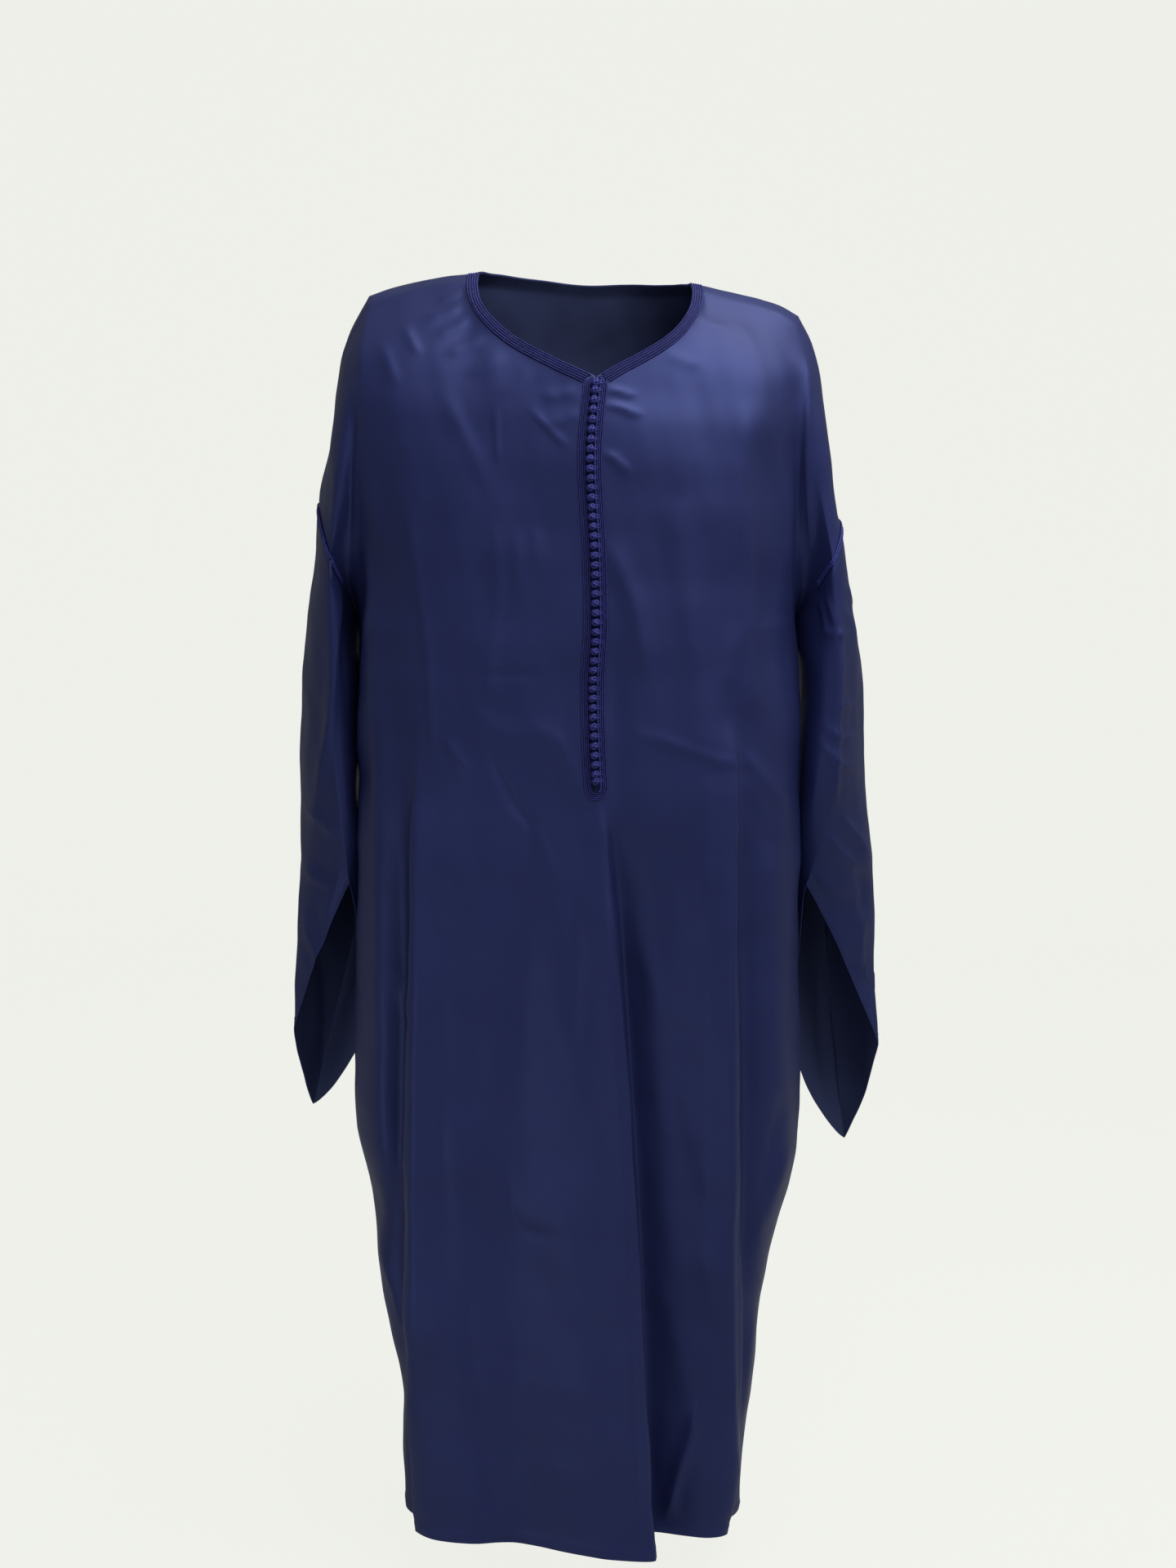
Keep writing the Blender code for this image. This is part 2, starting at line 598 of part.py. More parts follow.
def loft(name, rings, material, collection):
    # a solid through rings of equally many points, its ends filled
    size = len(rings[0])
    vertices = np.vstack(rings)
    faces = []
    for k in range(len(rings) - 1):
        here, ahead = k * size, (k + 1) * size
        for m in range(size):
            following = (m + 1) % size
            a, b, c, d = here + m, here + following, ahead + following, ahead + m
            faces += [(a, b, c), (a, c, d)]
    faces.append(tuple(range(size))[::-1])
    faces.append(tuple((len(rings) - 1) * size + m for m in range(size)))
    return make_object(name, vertices, faces, material, collection)


def satin_material(name, look):
    material = bpy.data.materials.new(name)
    material.use_nodes = True
    shader = material.node_tree.nodes["Principled BSDF"]
    shader.inputs["Base Color"].default_value = look[0]
    shader.inputs["Roughness"].default_value = look[1]
    shader.inputs["Metallic"].default_value = 0.0
    return material


def corner_normals(pieces):
    # smooth normals over the pieces together, each face weighted by its corner's angle
    totals = {}
    for points, faces in pieces:
        keys = point_keys(points)
        for face in faces:
            corners = [points[index] for index in face]
            normal = unit(np.cross(corners[1] - corners[0], corners[2] - corners[0]))
            for k in range(3):
                to_next = unit(corners[(k + 1) % 3] - corners[k])
                to_last = unit(corners[(k + 2) % 3] - corners[k])
                angle = math.acos(max(-1.0, min(1.0, float(to_next @ to_last))))
                key = keys[face[k]]
                totals[key] = totals.get(key, 0.0) + angle * normal
    return {key: unit(total) for key, total in totals.items()}


def point_keys(points):
    return [tuple(np.round(point * 1e6).astype(int)) for point in points]


def cloth_normals(body, sleeves):
    # body and sleeves share their normals where the cloth runs on over the armhole seam, and
    # keep their own in the armpit, where it turns back
    whole = corner_normals(body + sleeves)
    groups = [corner_normals(body), corner_normals(sleeves)]
    found = []
    for number, (points, faces) in enumerate(body + sleeves):
        own = groups[0] if number < len(body) else groups[1]
        other = groups[1] if number < len(body) else groups[0]
        rows = []
        for key in point_keys(points):
            normal = whole[key]
            if key in other:
                turned = (TURN_BEGINS - float(own[key] @ other[key])) / TURN_RANGE
                turned = min(max(turned, 0.0), 1.0) if key[2] < ARMPIT_FOLD_Z * 1e6 else 0.0
                normal = unit((1.0 - turned) * normal + turned * own[key])
            rows.append(normal)
        found.append(np.array(rows))
    return found


def front_piece(points):
    # the front's points with the slit's edges parted: vertices, faces and a table of vertex numbers
    rows, columns = points.shape[:2]
    ids = np.arange(rows * columns).reshape(rows, columns)
    vertices = points.reshape(-1, 3).copy()
    slit_rows = TOP_ROWS + SLIT_ROWS
    right_edge = points[:slit_rows, MIDDLE_COLUMN].copy()
    vertices[ids[:slit_rows, MIDDLE_COLUMN], 0] -= 0.5 * SLIT_WIDTH
    right_edge[:, 0] += 0.5 * SLIT_WIDTH
    right_ids = ids[:, MIDDLE_COLUMN:].copy()
    right_ids[:slit_rows, 0] = len(vertices) + np.arange(slit_rows)
    faces = grid_triangles(ids[:, :MIDDLE_COLUMN + 1]) + grid_triangles(right_ids, 0)
    return np.vstack([vertices, right_edge]), faces, ids, right_ids


def seam_plane(side):
    ring = sleeve_ring(side, 0.0)
    centre = ring.mean(axis=0)
    total = sum(np.cross(ring[k] - centre, ring[(k + 1) % len(ring)] - centre) for k in range(len(ring)))
    total /= np.linalg.norm(total)
    return total if total[2] > 0 else -total


def open_seams(vertices, ids, first_side, last_side, towards):
    # draw the sewn edges back by half the gap: shoulders and sides along y, armholes up the arm
    half = 0.5 * SEAM_GAP
    shoulder = SIDE_COLUMNS + SHOULDER_COLUMNS
    ridge = np.concatenate([ids[0, :shoulder + 1], ids[0, -shoulder - 1:]])
    sides = np.concatenate([ids[TOP_ROWS:, 0], ids[TOP_ROWS:, -1]])
    vertices[ridge, 1] += towards * half
    vertices[sides, 1] += towards * half
    for side, edge in ((first_side, ids[:TOP_ROWS + 1, 0]), (last_side, ids[:TOP_ROWS + 1, -1])):
        vertices[edge] += half * seam_plane(side)
    return vertices


# Trim

def skin_tree(skin):
    # search tree over the outer faces of all the cloth
    points, faces = [], []
    for vertices, triangles in skin:
        faces += [tuple(len(points) + index for index in face) for face in triangles]
        points += [tuple(vertex) for vertex in vertices]
    return BVHTree.FromPolygons(points, faces)


def braid_ring(edges, normals, lift):
    # cross-section of the braid between its two edges: plain base, three raised cords
    (first, second), (first_normal, second_normal) = edges, normals
    heights = [BRAID_EDGE, BRAID_CROWN, BRAID_VALLEY, BRAID_CROWN, BRAID_VALLEY, BRAID_CROWN, BRAID_EDGE]
    ring = [first + lift * first_normal]
    for k, height in enumerate(heights):
        part = k / (len(heights) - 1)
        normal = unit((1 - part) * first_normal + part * second_normal)
        ring.append((1 - part) * first + part * second + (lift + height) * normal)
    ring.append(second + lift * second_normal)
    return np.array(ring)


def cord_ring(edges, normals, lift):
    # two cords side by side over a seam
    (upper, seam, lower), (upper_normal, normal, lower_normal) = edges, normals
    ring = [upper + lift * upper_normal, upper + (lift + BRAID_EDGE) * upper_normal]
    ring.append(0.5 * (upper + seam) + (lift + BRAID_CROWN) * normal)
    ring.append(seam + (lift + BRAID_VALLEY) * normal)
    ring.append(0.5 * (seam + lower) + (lift + BRAID_CROWN) * normal)
    ring += [lower + (lift + BRAID_EDGE) * lower_normal, lower + lift * lower_normal, seam + lift * normal]
    return np.array(ring)


def laid(stations, ring_at, cloth):
    # rings of a trim, each raised until the trim's base clears the cloth under it
    lifts = np.full(len(stations), TRIM_GAP)
    across = len(stations[0][0])
    for attempt in range(LAY_PASSES):
        base = [edge + (lift - TRIM_CLEARANCE) * normal
                for (edges, normals), lift in zip(stations, lifts)
                for edge, normal in zip(edges, normals)]
        faces = []
        for k in range(len(stations) - 1):
            for m in range(across - 1):
                a, b = k * across + m, (k + 1) * across + m
                faces += [(a, a + 1, b + 1), (a, b + 1, b), (a, a + 1, b), (a + 1, b + 1, b)]
        tree = BVHTree.FromPolygons([tuple(point) for point in base], faces)
        touched = set()
        for index, other in tree.overlap(cloth):
            k = index // (4 * (across - 1))
            touched |= {k, k + 1}
        if not touched:
            break
        lifts[sorted(touched)] += LAY_STEP
    return [ring_at(edges, normals, lift) for (edges, normals), lift in zip(stations, lifts)]


def neck_stations(edge, normals, cloth):
    # stations of a braid along the neck's edge, its outer edge found on the cloth
    edge = halved(edge)
    normals = evened(halved(normals))
    reaches, outer_normals = [], []
    for k, (spot, normal) in enumerate(zip(edge, normals)):
        along = edge[min(k + 1, len(edge) - 1)] - edge[max(k - 1, 0)]
        across = unit(np.cross(normal, along))
        found, face_normal = cloth.find_nearest(tuple(spot + BRAID_WIDTH * across))[:2]
        reaches.append(np.array(found) - spot)
        outer_normals.append(np.array(face_normal))
    outer = edge + evened(np.array(reaches))
    outer_normals = evened(np.array(outer_normals))
    return [((edge[k], outer[k]), (unit(normals[k]), unit(outer_normals[k]))) for k in range(len(edge))]


def evened(rows, passes=2):
    # the rows with each one drawn towards its neighbours
    for number in range(passes):
        padded = np.vstack([rows[:1], rows, rows[-1:]])
        rows = 0.25 * padded[:-2] + 0.5 * rows + 0.25 * padded[2:]
    return rows


def halved(rows):
    # the rows with the middle of each step put between them
    middles = 0.5 * (rows[:-1] + rows[1:])
    return np.vstack([np.stack([rows[:-1], middles], axis=1).reshape(-1, rows.shape[1]), rows[-1:]])


def button_mesh(centre, name, material, collection):
    mesh = bpy.data.meshes.new(name)
    work = bmesh.new()
    bmesh.ops.create_uvsphere(work, u_segments=8, v_segments=4, radius=BUTTON_RADIUS)
    work.to_mesh(mesh)
    work.free()
    mesh.shade_smooth()
    mesh.materials.append(material)
    item = bpy.data.objects.new(name, mesh)
    item.location = centre
    collection.objects.link(item)


def build():
    for item in list(bpy.data.objects):
        bpy.data.objects.remove(item)
    collection = bpy.data.collections.new("djellaba")
    bpy.context.scene.collection.children.link(collection)
    satin = satin_material("satin", SATIN)
    braid = satin_material("braid", BRAID)
    knot = satin_material("knot", BUTTON)

    front_points = panel_points(front_row, front_top_edge(), SHOULDER_DROP_FRONT, True)
    back_points = panel_points(back_row, back_top_edge(), SHOULDER_DROP_BACK, False)
    front_vertices, front_faces, front_ids, right_ids = front_piece(front_points)
    back_ids = np.arange(back_points.shape[0] * back_points.shape[1]).reshape(back_points.shape[:2])
    back_vertices = back_points.reshape(-1, 3)
    back_faces = grid_triangles(back_ids, back_ids.shape[1] // 2)

    sleeves = {}
    for side in ("left", "right"):
        rings = np.array([sleeve_ring(side, k / SLEEVE_RINGS) for k in range(SLEEVE_RINGS + 1)])
        ids = np.arange(rings.shape[0] * rings.shape[1]).reshape(rings.shape[:2])
        around = np.column_stack([ids, ids[:, 0]])
        if side == "right":
            around = around[:, ::-1]
        sleeves[side] = (rings.reshape(-1, 3), grid_triangles(around), ids)

    skin = [(front_vertices, front_faces), (back_vertices, back_faces)]
    skin += [sleeves["left"][:2], sleeves["right"][:2]]
    normals = cloth_normals(skin[:2], skin[2:])
    front_normals, back_normals = normals[0], normals[1]
    sleeve_normals = {"left": normals[2], "right": normals[3]}
    cloth = skin_tree(skin)

    opened = open_seams(front_vertices.copy(), front_ids, "left", "right", -1.0)
    cloth_wall("front_panel", opened, front_normals, front_faces, satin, collection)
    opened = open_seams(back_vertices.copy(), back_ids, "right", "left", 1.0)
    cloth_wall("back_panel", opened, back_normals, back_faces, satin, collection)
    for side in ("left", "right"):
        vertices, faces, ids = sleeves[side]
        moved = vertices.copy()
        moved[ids[0]] -= 0.5 * SEAM_GAP * seam_plane(side)
        cloth_wall("sleeve_" + side, moved, sleeve_normals[side], faces, satin, collection)

    # neck braid, from beside the slit round the back of the neck to its other side
    shoulder = SIDE_COLUMNS + SHOULDER_COLUMNS
    front_last, back_last = front_ids.shape[1] - 1, back_ids.shape[1] - 1
    inner_part = BRAID_INNER / BRAID_WIDTH

    def slit_end(side):
        ends = []
        for row in (0, 1):
            middle, edge = front_ids[row, MIDDLE_COLUMN], front_ids[row, MIDDLE_COLUMN + side]
            towards = front_points[row, MIDDLE_COLUMN + side] - front_points[row, MIDDLE_COLUMN]
            normal = front_normals[middle] + inner_part * (front_normals[edge] - front_normals[middle])
            ends.append((front_points[row, MIDDLE_COLUMN] + inner_part * towards, unit(normal)))
        return (ends[0][0], ends[1][0]), (ends[0][1], ends[1][1])

    left_front = front_ids[0, shoulder + 1:MIDDLE_COLUMN][::-1]
    whole_back = back_ids[0, shoulder:back_last - shoulder + 1][::-1]
    right_front = front_ids[0, MIDDLE_COLUMN + 1:front_last - shoulder][::-1]
    edge = np.vstack([front_vertices[left_front], back_vertices[whole_back], front_vertices[right_front]])
    turned = np.vstack([front_normals[left_front], back_normals[whole_back], front_normals[right_front]])
    rings = [slit_end(-1)] + neck_stations(edge, turned, cloth) + [slit_end(1)]
    loft("neck_braid", laid(rings, braid_ring, cloth), braid, collection)

    # slit braid, down the left side, round below the slit and up the right side
    rings = []
    last_row = TOP_ROWS + SLIT_ROWS

    def slit_station(row, side, outer_part, inner_edge):
        column = MIDDLE_COLUMN + side
        i = int(math.floor(row))
        part = row - i
        low = min(i + 1, front_points.shape[0] - 1)
        line = (1 - part) * front_points[i] + part * front_points[low]
        turned = (1 - part) * front_normals[front_ids[i]] + part * front_normals[front_ids[low]]
        middle, edge = line[MIDDLE_COLUMN], line[column]
        normal_middle, normal_edge = turned[MIDDLE_COLUMN], turned[column]
        first = middle + outer_part * (edge - middle)
        second = middle + inner_edge * (edge - middle)
        return (first, second), (unit(normal_edge), unit(normal_middle))

    def slit_start(side):
        # slanted, along the neck braid's lower edge
        outer = slit_station(BRAID_START_OUTER, side, 1.0, inner_part)
        inner = slit_station(BRAID_START_INNER, side, 1.0, inner_part)
        return (outer[0][0], inner[0][1]), (outer[1][0], inner[1][1])

    row_height = (front_points[last_row, MIDDLE_COLUMN, 2] - front_points[last_row + 1, MIDDLE_COLUMN, 2])
    down_rows = [float(i) for i in range(2, last_row + 1)]
    rings.append(slit_start(-1))
    for row in down_rows:
        rings.append(slit_station(row, -1, 1.0, inner_part))
    outer_depth, inner_depth = U_DEPTH, U_DEPTH - (BRAID_WIDTH - BRAID_INNER)
    for step in range(1, U_TURNS):
        angle = math.pi * step / U_TURNS
        outer_row = last_row + outer_depth * math.sin(angle) / row_height
        inner_row = last_row + inner_depth * math.sin(angle) / row_height
        side = -1 if step * 2 <= U_TURNS else 1
        first = slit_station(outer_row, side, abs(math.cos(angle)), 0.0)[0][0]
        second = slit_station(inner_row, side, inner_part * abs(math.cos(angle)), 0.0)[0][0]
        normal = unit(front_normals[front_ids[last_row, MIDDLE_COLUMN]])
        rings.append(((first, second), (normal, normal)))
    for row in down_rows[::-1]:
        rings.append(slit_station(row, 1, 1.0, inner_part))
    rings.append(slit_start(1))
    loft("slit_braid", laid(rings, braid_ring, cloth), braid, collection)

    # cords over the armhole seams
    for side in ("left", "right"):
        vertices, faces, ids = sleeves[side]
        front_column, front_next = (0, 1) if side == "left" else (-1, -2)
        back_column, back_next = (-1, -2) if side == "left" else (0, 1)
        rings = []
        for step in range(-CORD_STEPS, CORD_STEPS + 1):
            k = step % (2 * TOP_ROWS)
            seam, below = vertices[ids[0, k]], vertices[ids[1, k]]
            if k <= TOP_ROWS:
                above = front_points[k, front_next]
                normal_above = front_normals[front_ids[k, front_next]]
            else:
                above = back_points[2 * TOP_ROWS - k, back_next]
                normal_above = back_normals[back_ids[2 * TOP_ROWS - k, back_next]]
            normal_seam = sleeve_normals[side][ids[0, k]]
            normal_below = sleeve_normals[side][ids[1, k]]
            up_part = CORD_REACH / np.linalg.norm(above - seam)
            down_part = CORD_REACH / np.linalg.norm(below - seam)
            upper = seam + up_part * (above - seam)
            lower = seam + down_part * (below - seam)
            ring_normals = (
                unit(normal_seam + up_part * (normal_above - normal_seam)),
                normal_seam,
                unit(normal_seam + down_part * (normal_below - normal_seam)),
            )
            rings.append(((upper, seam, lower), ring_normals))
        loft("armhole_cord_" + side, laid(rings, cord_ring, cloth), braid, collection)

    # one row of knotted balls on the slit's edges
    line = front_points[:last_row + 1, MIDDLE_COLUMN]
    line_normals = front_normals[front_ids[:last_row + 1, MIDDLE_COLUMN]]
    for number in range(BUTTON_COUNT):
        z = FIRST_BUTTON_Z + (LAST_BUTTON_Z - FIRST_BUTTON_Z) * number / (BUTTON_COUNT - 1)
        spot = np.array([np.interp(-z, -line[:, 2], line[:, k]) for k in range(3)])
        normal = unit(np.array([np.interp(-z, -line[:, 2], line_normals[:, k]) for k in range(3)]))
        centre = spot + normal * (BUTTON_RADIUS + TRIM_GAP)
        button_mesh(centre, "button_%02d" % (number + 1), knot, collection)


build()
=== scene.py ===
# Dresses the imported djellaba: satin with its folds and creases, braid, knots, cords and stitches.
# Metres, +Z up. The front faces -Y, and left is -X, as the camera sees it.

import math

import bmesh
import bpy
import numpy as np
from mathutils.bvhtree import BVHTree
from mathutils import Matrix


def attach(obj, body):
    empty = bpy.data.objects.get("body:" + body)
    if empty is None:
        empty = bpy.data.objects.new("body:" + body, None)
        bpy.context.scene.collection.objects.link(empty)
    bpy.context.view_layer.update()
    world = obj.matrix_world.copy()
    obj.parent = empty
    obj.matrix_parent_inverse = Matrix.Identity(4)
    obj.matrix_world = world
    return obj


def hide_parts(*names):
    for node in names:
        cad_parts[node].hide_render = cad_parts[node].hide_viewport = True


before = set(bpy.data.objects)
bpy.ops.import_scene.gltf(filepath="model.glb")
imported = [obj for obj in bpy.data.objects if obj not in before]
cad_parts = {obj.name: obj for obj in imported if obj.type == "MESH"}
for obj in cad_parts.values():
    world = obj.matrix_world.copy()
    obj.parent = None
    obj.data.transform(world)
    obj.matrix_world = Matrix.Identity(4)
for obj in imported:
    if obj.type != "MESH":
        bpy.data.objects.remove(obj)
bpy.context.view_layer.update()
print("frame loaded:", len(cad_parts), "nodes")

scene = bpy.context.scene
collection = scene.collection

# camera, at the photograph's viewing angle
view = {"place": (0.0, -2.5, -0.20), "pitchDown": math.radians(8.4), "lens": 49.0, "sensor": 36.0,
        "imageWidth": 1440, "imageHeight": 1920}
cameraData = bpy.data.cameras.new("camera")
cameraData.lens = view["lens"]
cameraData.sensor_width = view["sensor"]
camera = bpy.data.objects.new("camera", cameraData)
camera.location = view["place"]
camera.rotation_euler = (math.radians(90) - view["pitchDown"], 0.0, 0.0)
collection.objects.link(camera)
scene.camera = camera


def toPhoto(points):
    # where points of the cloth stand in the photograph, in its pixels
    focal = view["lens"] / view["sensor"] * view["imageHeight"]
    away = points - np.array(view["place"])
    cosine, sine = math.cos(view["pitchDown"]), math.sin(view["pitchDown"])
    depth = away[..., 1] * cosine - away[..., 2] * sine
    up = away[..., 1] * sine + away[..., 2] * cosine
    return np.stack([view["imageWidth"] / 2 + focal * away[..., 0] / depth,
                     view["imageHeight"] / 2 - focal * up / depth], axis=-1)


# the robe's form: the same tables as its solids, at finer steps

robe = {
    "shell": 0.0012, "armpitZ": -0.375, "slitEndZ": -0.549, "hemZ": -1.445,
    "slitWidth": 0.0012, "seamReach": 0.012,
    "braidWidth": 0.0135, "hemBand": 0.013, "hemLift": 0.0006, "hemFold": 0.002,
    "topRows": 80, "slitRows": 32, "skirtRows": 118,
    "sideColumns": 28, "shoulderColumns": 22, "outerColumns": 18, "stripColumns": 5,
    "neckColumnsLeft": 42, "neckColumnsRight": 34, "backNeckColumns": 24, "sleeveRings": 104,
    "topSamples": 18, "foldCrowd": 0.5, "crowdDepth": 0.15,
    "fanSpread": 0.017, "fanReach": 0.070, "neckEase": 3, "neckBlend": 0.045,
    "evenFrom": 5, "evenPasses": 260, "evenAcrossEvery": 3, "normalPasses": 4, "neckStrip": 1.08,
    "rowEase": 1.25, "dropFront": 0.17, "dropBack": 0.14, "shoulderRound": 1.8, "backNeckRise": 0.035,
    "sectionSteps": 24, "seamY": 0.010, "backCrease": 0.86, "backCreaseY": 0.075, "backCorner": 0.58,
    "frontMiddle": 0.50, "frontCorner": 0.86, "cornerOfFront": 0.55, "cornerOfCrease": 0.60,
    "frontFlat": 0.97, "backFlat": 0.93, "swayReach": 0.10,
    # z, left, right, front, crease, back, side seam
    "body": [
        (0.030, 0.262, 0.250, 0.135, 0.090, 0.100, 1.030),
        (-0.100, 0.266, 0.238, 0.145, 0.100, 0.115, 1.030),
        (-0.220, 0.266, 0.232, 0.152, 0.080, 0.122, 1.030),
        (-0.375, 0.260, 0.233, 0.158, 0.045, 0.122, 1.030),
        (-0.440, 0.261, 0.237, 0.160, 0.048, 0.120, 0.975),
        (-0.500, 0.265, 0.241, 0.162, 0.050, 0.118, 0.945),
        (-0.700, 0.270, 0.245, 0.165, 0.050, 0.120, 0.945),
        (-0.950, 0.275, 0.251, 0.165, 0.050, 0.132, 0.950),
        (-1.050, 0.256, 0.236, 0.165, 0.052, 0.130, 0.955),
        (-1.180, 0.245, 0.207, 0.166, 0.055, 0.128, 0.955),
        (-1.300, 0.221, 0.195, 0.168, 0.060, 0.126, 0.955),
        (-1.445, 0.214, 0.176, 0.170, 0.062, 0.124, 0.955),
    ],
    # z, left fold, middle, right fold
    "guides": [
        (-0.375, -0.185, 0.0085, 0.150),
        (-0.450, -0.187, 0.0050, 0.153),
        (-0.565, -0.190, 0.0100, 0.157),
        (-0.620, -0.191, 0.0190, 0.158),
        (-0.765, -0.195, 0.0270, 0.162),
        (-0.960, -0.203, 0.0400, 0.168),
        (-1.120, -0.204, 0.0490, 0.169),
        (-1.300, -0.195, 0.0575, 0.166),
        (-1.445, -0.193, 0.0640, 0.154),
    ],
    "slitLine": [(-0.100, 0.009), (-0.150, 0.004), (-0.200, 0.002), (-0.290, 0.007), (-0.375, 0.0085)],
    # guide, offset from it, start z, full z, height there, height at the hem, width left, width right
    "frontFolds": [
        ("left", 0.000, -0.40, -0.85, 0.017, 0.014, 0.006, 0.060),
        ("left", -0.020, -0.42, -0.85, -0.016, -0.007, 0.018, 0.010),
        ("left", 0.120, -0.60, -1.10, -0.010, -0.016, 0.040, 0.045),
        ("middle", 0.000, -0.53, -0.80, 0.016, 0.030, 0.090, 0.006),
        ("middle", 0.013, -0.53, -0.80, -0.032, -0.040, 0.007, 0.058),
        ("right", 0.000, -0.38, -0.85, 0.017, 0.014, 0.034, 0.006),
        ("right", 0.020, -0.40, -0.85, -0.016, -0.007, 0.010, 0.020),
    ],
    # start z, full z, how far it leans, width left, width right
    "stepLean": (-0.58, -0.85, 0.011, 0.050, 0.008),
    # x at the armpit, x at the hem, height at the hem, width
    "backFolds": [
        (-0.200, -0.165, 0.018, 0.024),
        (-0.135, -0.110, -0.034, 0.026),
        (-0.060, -0.050, 0.030, 0.032),
        (0.012, 0.020, -0.032, 0.030),
        (0.085, 0.075, 0.028, 0.028),
        (0.150, 0.120, -0.028, 0.024),
    ],
    "backFoldGrowth": 1.6,
    # neck edge, from the middle of the front to the shoulder, and of the back from left to right: x, y, z
    "neckLeft": [
        (0.009, -0.137, -0.100), (-0.036, -0.128, -0.079), (-0.077, -0.113, -0.056), (-0.103, -0.097, -0.036),
        (-0.118, -0.077, -0.017), (-0.1235, -0.048, 0.004), (-0.1237, -0.028, 0.0140), (-0.123, 0.000, 0.020),
    ],
    "neckRight": [
        (0.009, -0.137, -0.100), (0.032, -0.129, -0.086), (0.062, -0.118, -0.070), (0.085, -0.107, -0.056),
        (0.102, -0.092, -0.040), (0.113, -0.072, -0.022), (0.117, -0.045, -0.004), (0.1168, -0.026, 0.0038),
        (0.1155, 0.000, 0.009),
    ],
    "neckBack": [
        (-0.123, 0.000, 0.020), (-0.116, 0.028, 0.023), (-0.092, 0.056, 0.022), (-0.048, 0.073, 0.018),
        (0.000, 0.078, 0.014), (0.044, 0.072, 0.014), (0.084, 0.054, 0.014), (0.105, 0.026, 0.012),
        (0.1155, 0.000, 0.009),
    ],
    # ridge of the shoulder to its dropped corner, and on to the top of the armhole: x, y, z
    "shoulder": {
        "left": [(-0.123, 0, 0.020), (-0.172, 0, 0.016), (-0.220, 0, 0.006), (-0.250, 0, -0.004)],
        "right": [(0.1155, 0, 0.009), (0.170, 0, -0.002), (0.215, 0, -0.013), (0.240, 0, -0.026)],
    },
    "upperArm": {
        "left": [(-0.250, 0.000, -0.004), (-0.276, 0.004, -0.050), (-0.288, 0.010, -0.103),
                 (-0.297, 0.015, -0.168), (-0.312, 0.020, -0.243)],
        "right": [(0.240, 0.000, -0.026), (0.260, 0.004, -0.064), (0.270, 0.010, -0.117),
                  (0.277, 0.015, -0.187), (0.287, 0.020, -0.262)],
    },
    # sleeve rings: inner, front, outer and back corner (distance out, y, z), straightness outside and inside
    "sleeve": {},
}
robe["sleeve"]["left"] = [
    (None, (0.291, -0.078, -0.3), (0.312, 0.02, -0.243), (0.288, 0.12, -0.3), 0.98, 1.75),
    ((0.270, 0.022, -0.44), (0.291, -0.074, -0.415), (0.331, 0.022, -0.395), (0.278, 0.128, -0.42), 1.25, 0.95),
    ((0.274, 0.014, -0.57), (0.29, -0.072, -0.54), (0.342, 0.022, -0.54), (0.279, 0.13, -0.56), 1.3, 0.85),
    ((0.276, 0.03, -0.7), (0.284, -0.058, -0.622), (0.345, 0.022, -0.69), (0.288, 0.122, -0.735), 1.45, 0.95),
    ((0.282, 0.052, -0.9), (0.28, -0.04, -0.682), (0.356, 0.02, -0.872), (0.344, 0.084, -0.986), 1.75, 1.55),
]
robe["sleeve"]["right"] = [
    (None, (0.277, -0.074, -0.305), (0.287, 0.02, -0.262), (0.264, 0.118, -0.31), 1.0, 1.75),
    ((0.246, 0.02, -0.445), (0.285, -0.072, -0.415), (0.319, 0.03, -0.41), (0.278, 0.122, -0.425), 1.25, 0.9),
    ((0.248, -0.004, -0.58), (0.284, -0.071, -0.54), (0.33, 0.028, -0.552), (0.286, 0.126, -0.565), 1.3, 0.8),
    ((0.248, 0.03, -0.71), (0.274, -0.058, -0.622), (0.342, 0.024, -0.7), (0.297, 0.12, -0.745), 1.45, 0.95),
    ((0.262, 0.052, -0.93), (0.256, -0.038, -0.684), (0.352, 0.02, -0.892), (0.322, 0.084, -1.03), 1.75, 1.55),
]
outwards = {"left": -1.0, "right": 1.0}


def smoothCurve(points, steps=12, closed=False):
    # Catmull-Rom curve through the points
    points = np.array(points, dtype=float)
    if closed:
        padded = np.vstack([points[-1:], points, points[:2]])
    else:
        padded = np.vstack([2 * points[0] - points[1], points, 2 * points[-1] - points[-2]])
    t = (np.arange(steps) / steps)[None, :, None]
    a, b, c, d = (padded[k:len(padded) - 3 + k, None, :] for k in range(4))
    square, cube = 2 * a - 5 * b + 4 * c - d, 3 * b - a - 3 * c + d
    curve = 0.5 * (2 * b + (c - a) * t + square * t ** 2 + cube * t ** 3)
    curve = curve.reshape(-1, points.shape[1])
    return curve if closed else np.vstack([curve, points[-1:]])


def arcLengths(curve):
    return np.concatenate([[0.0], np.cumsum(np.linalg.norm(np.diff(curve, axis=0), axis=1))])


def pointsAlong(curve, lengths):
    arcs = arcLengths(curve)
    return np.stack([np.interp(lengths, arcs, curve[:, k]) for k in range(curve.shape[1])], axis=1)


def evenly(curve, count):
    return pointsAlong(curve, np.linspace(0.0, arcLengths(curve)[-1], count + 1))


def fromTable(table, z):
    heights = [-row[0] for row in table]
    return [float(np.interp(-z, heights, [row[k] for row in table])) for k in range(1, len(table[0]))]


def ease(value):
    value = np.clip(value, 0.0, 1.0)
    return value * value * (3.0 - 2.0 * value)


def softened(table):
    # the same table with smooth rows between
    return [tuple(row) for row in smoothCurve(table, 6)]


robe["body"] = softened(robe["body"])
robe["guides"] = softened(robe["guides"])
robe["slitLine"] = softened(robe["slitLine"])


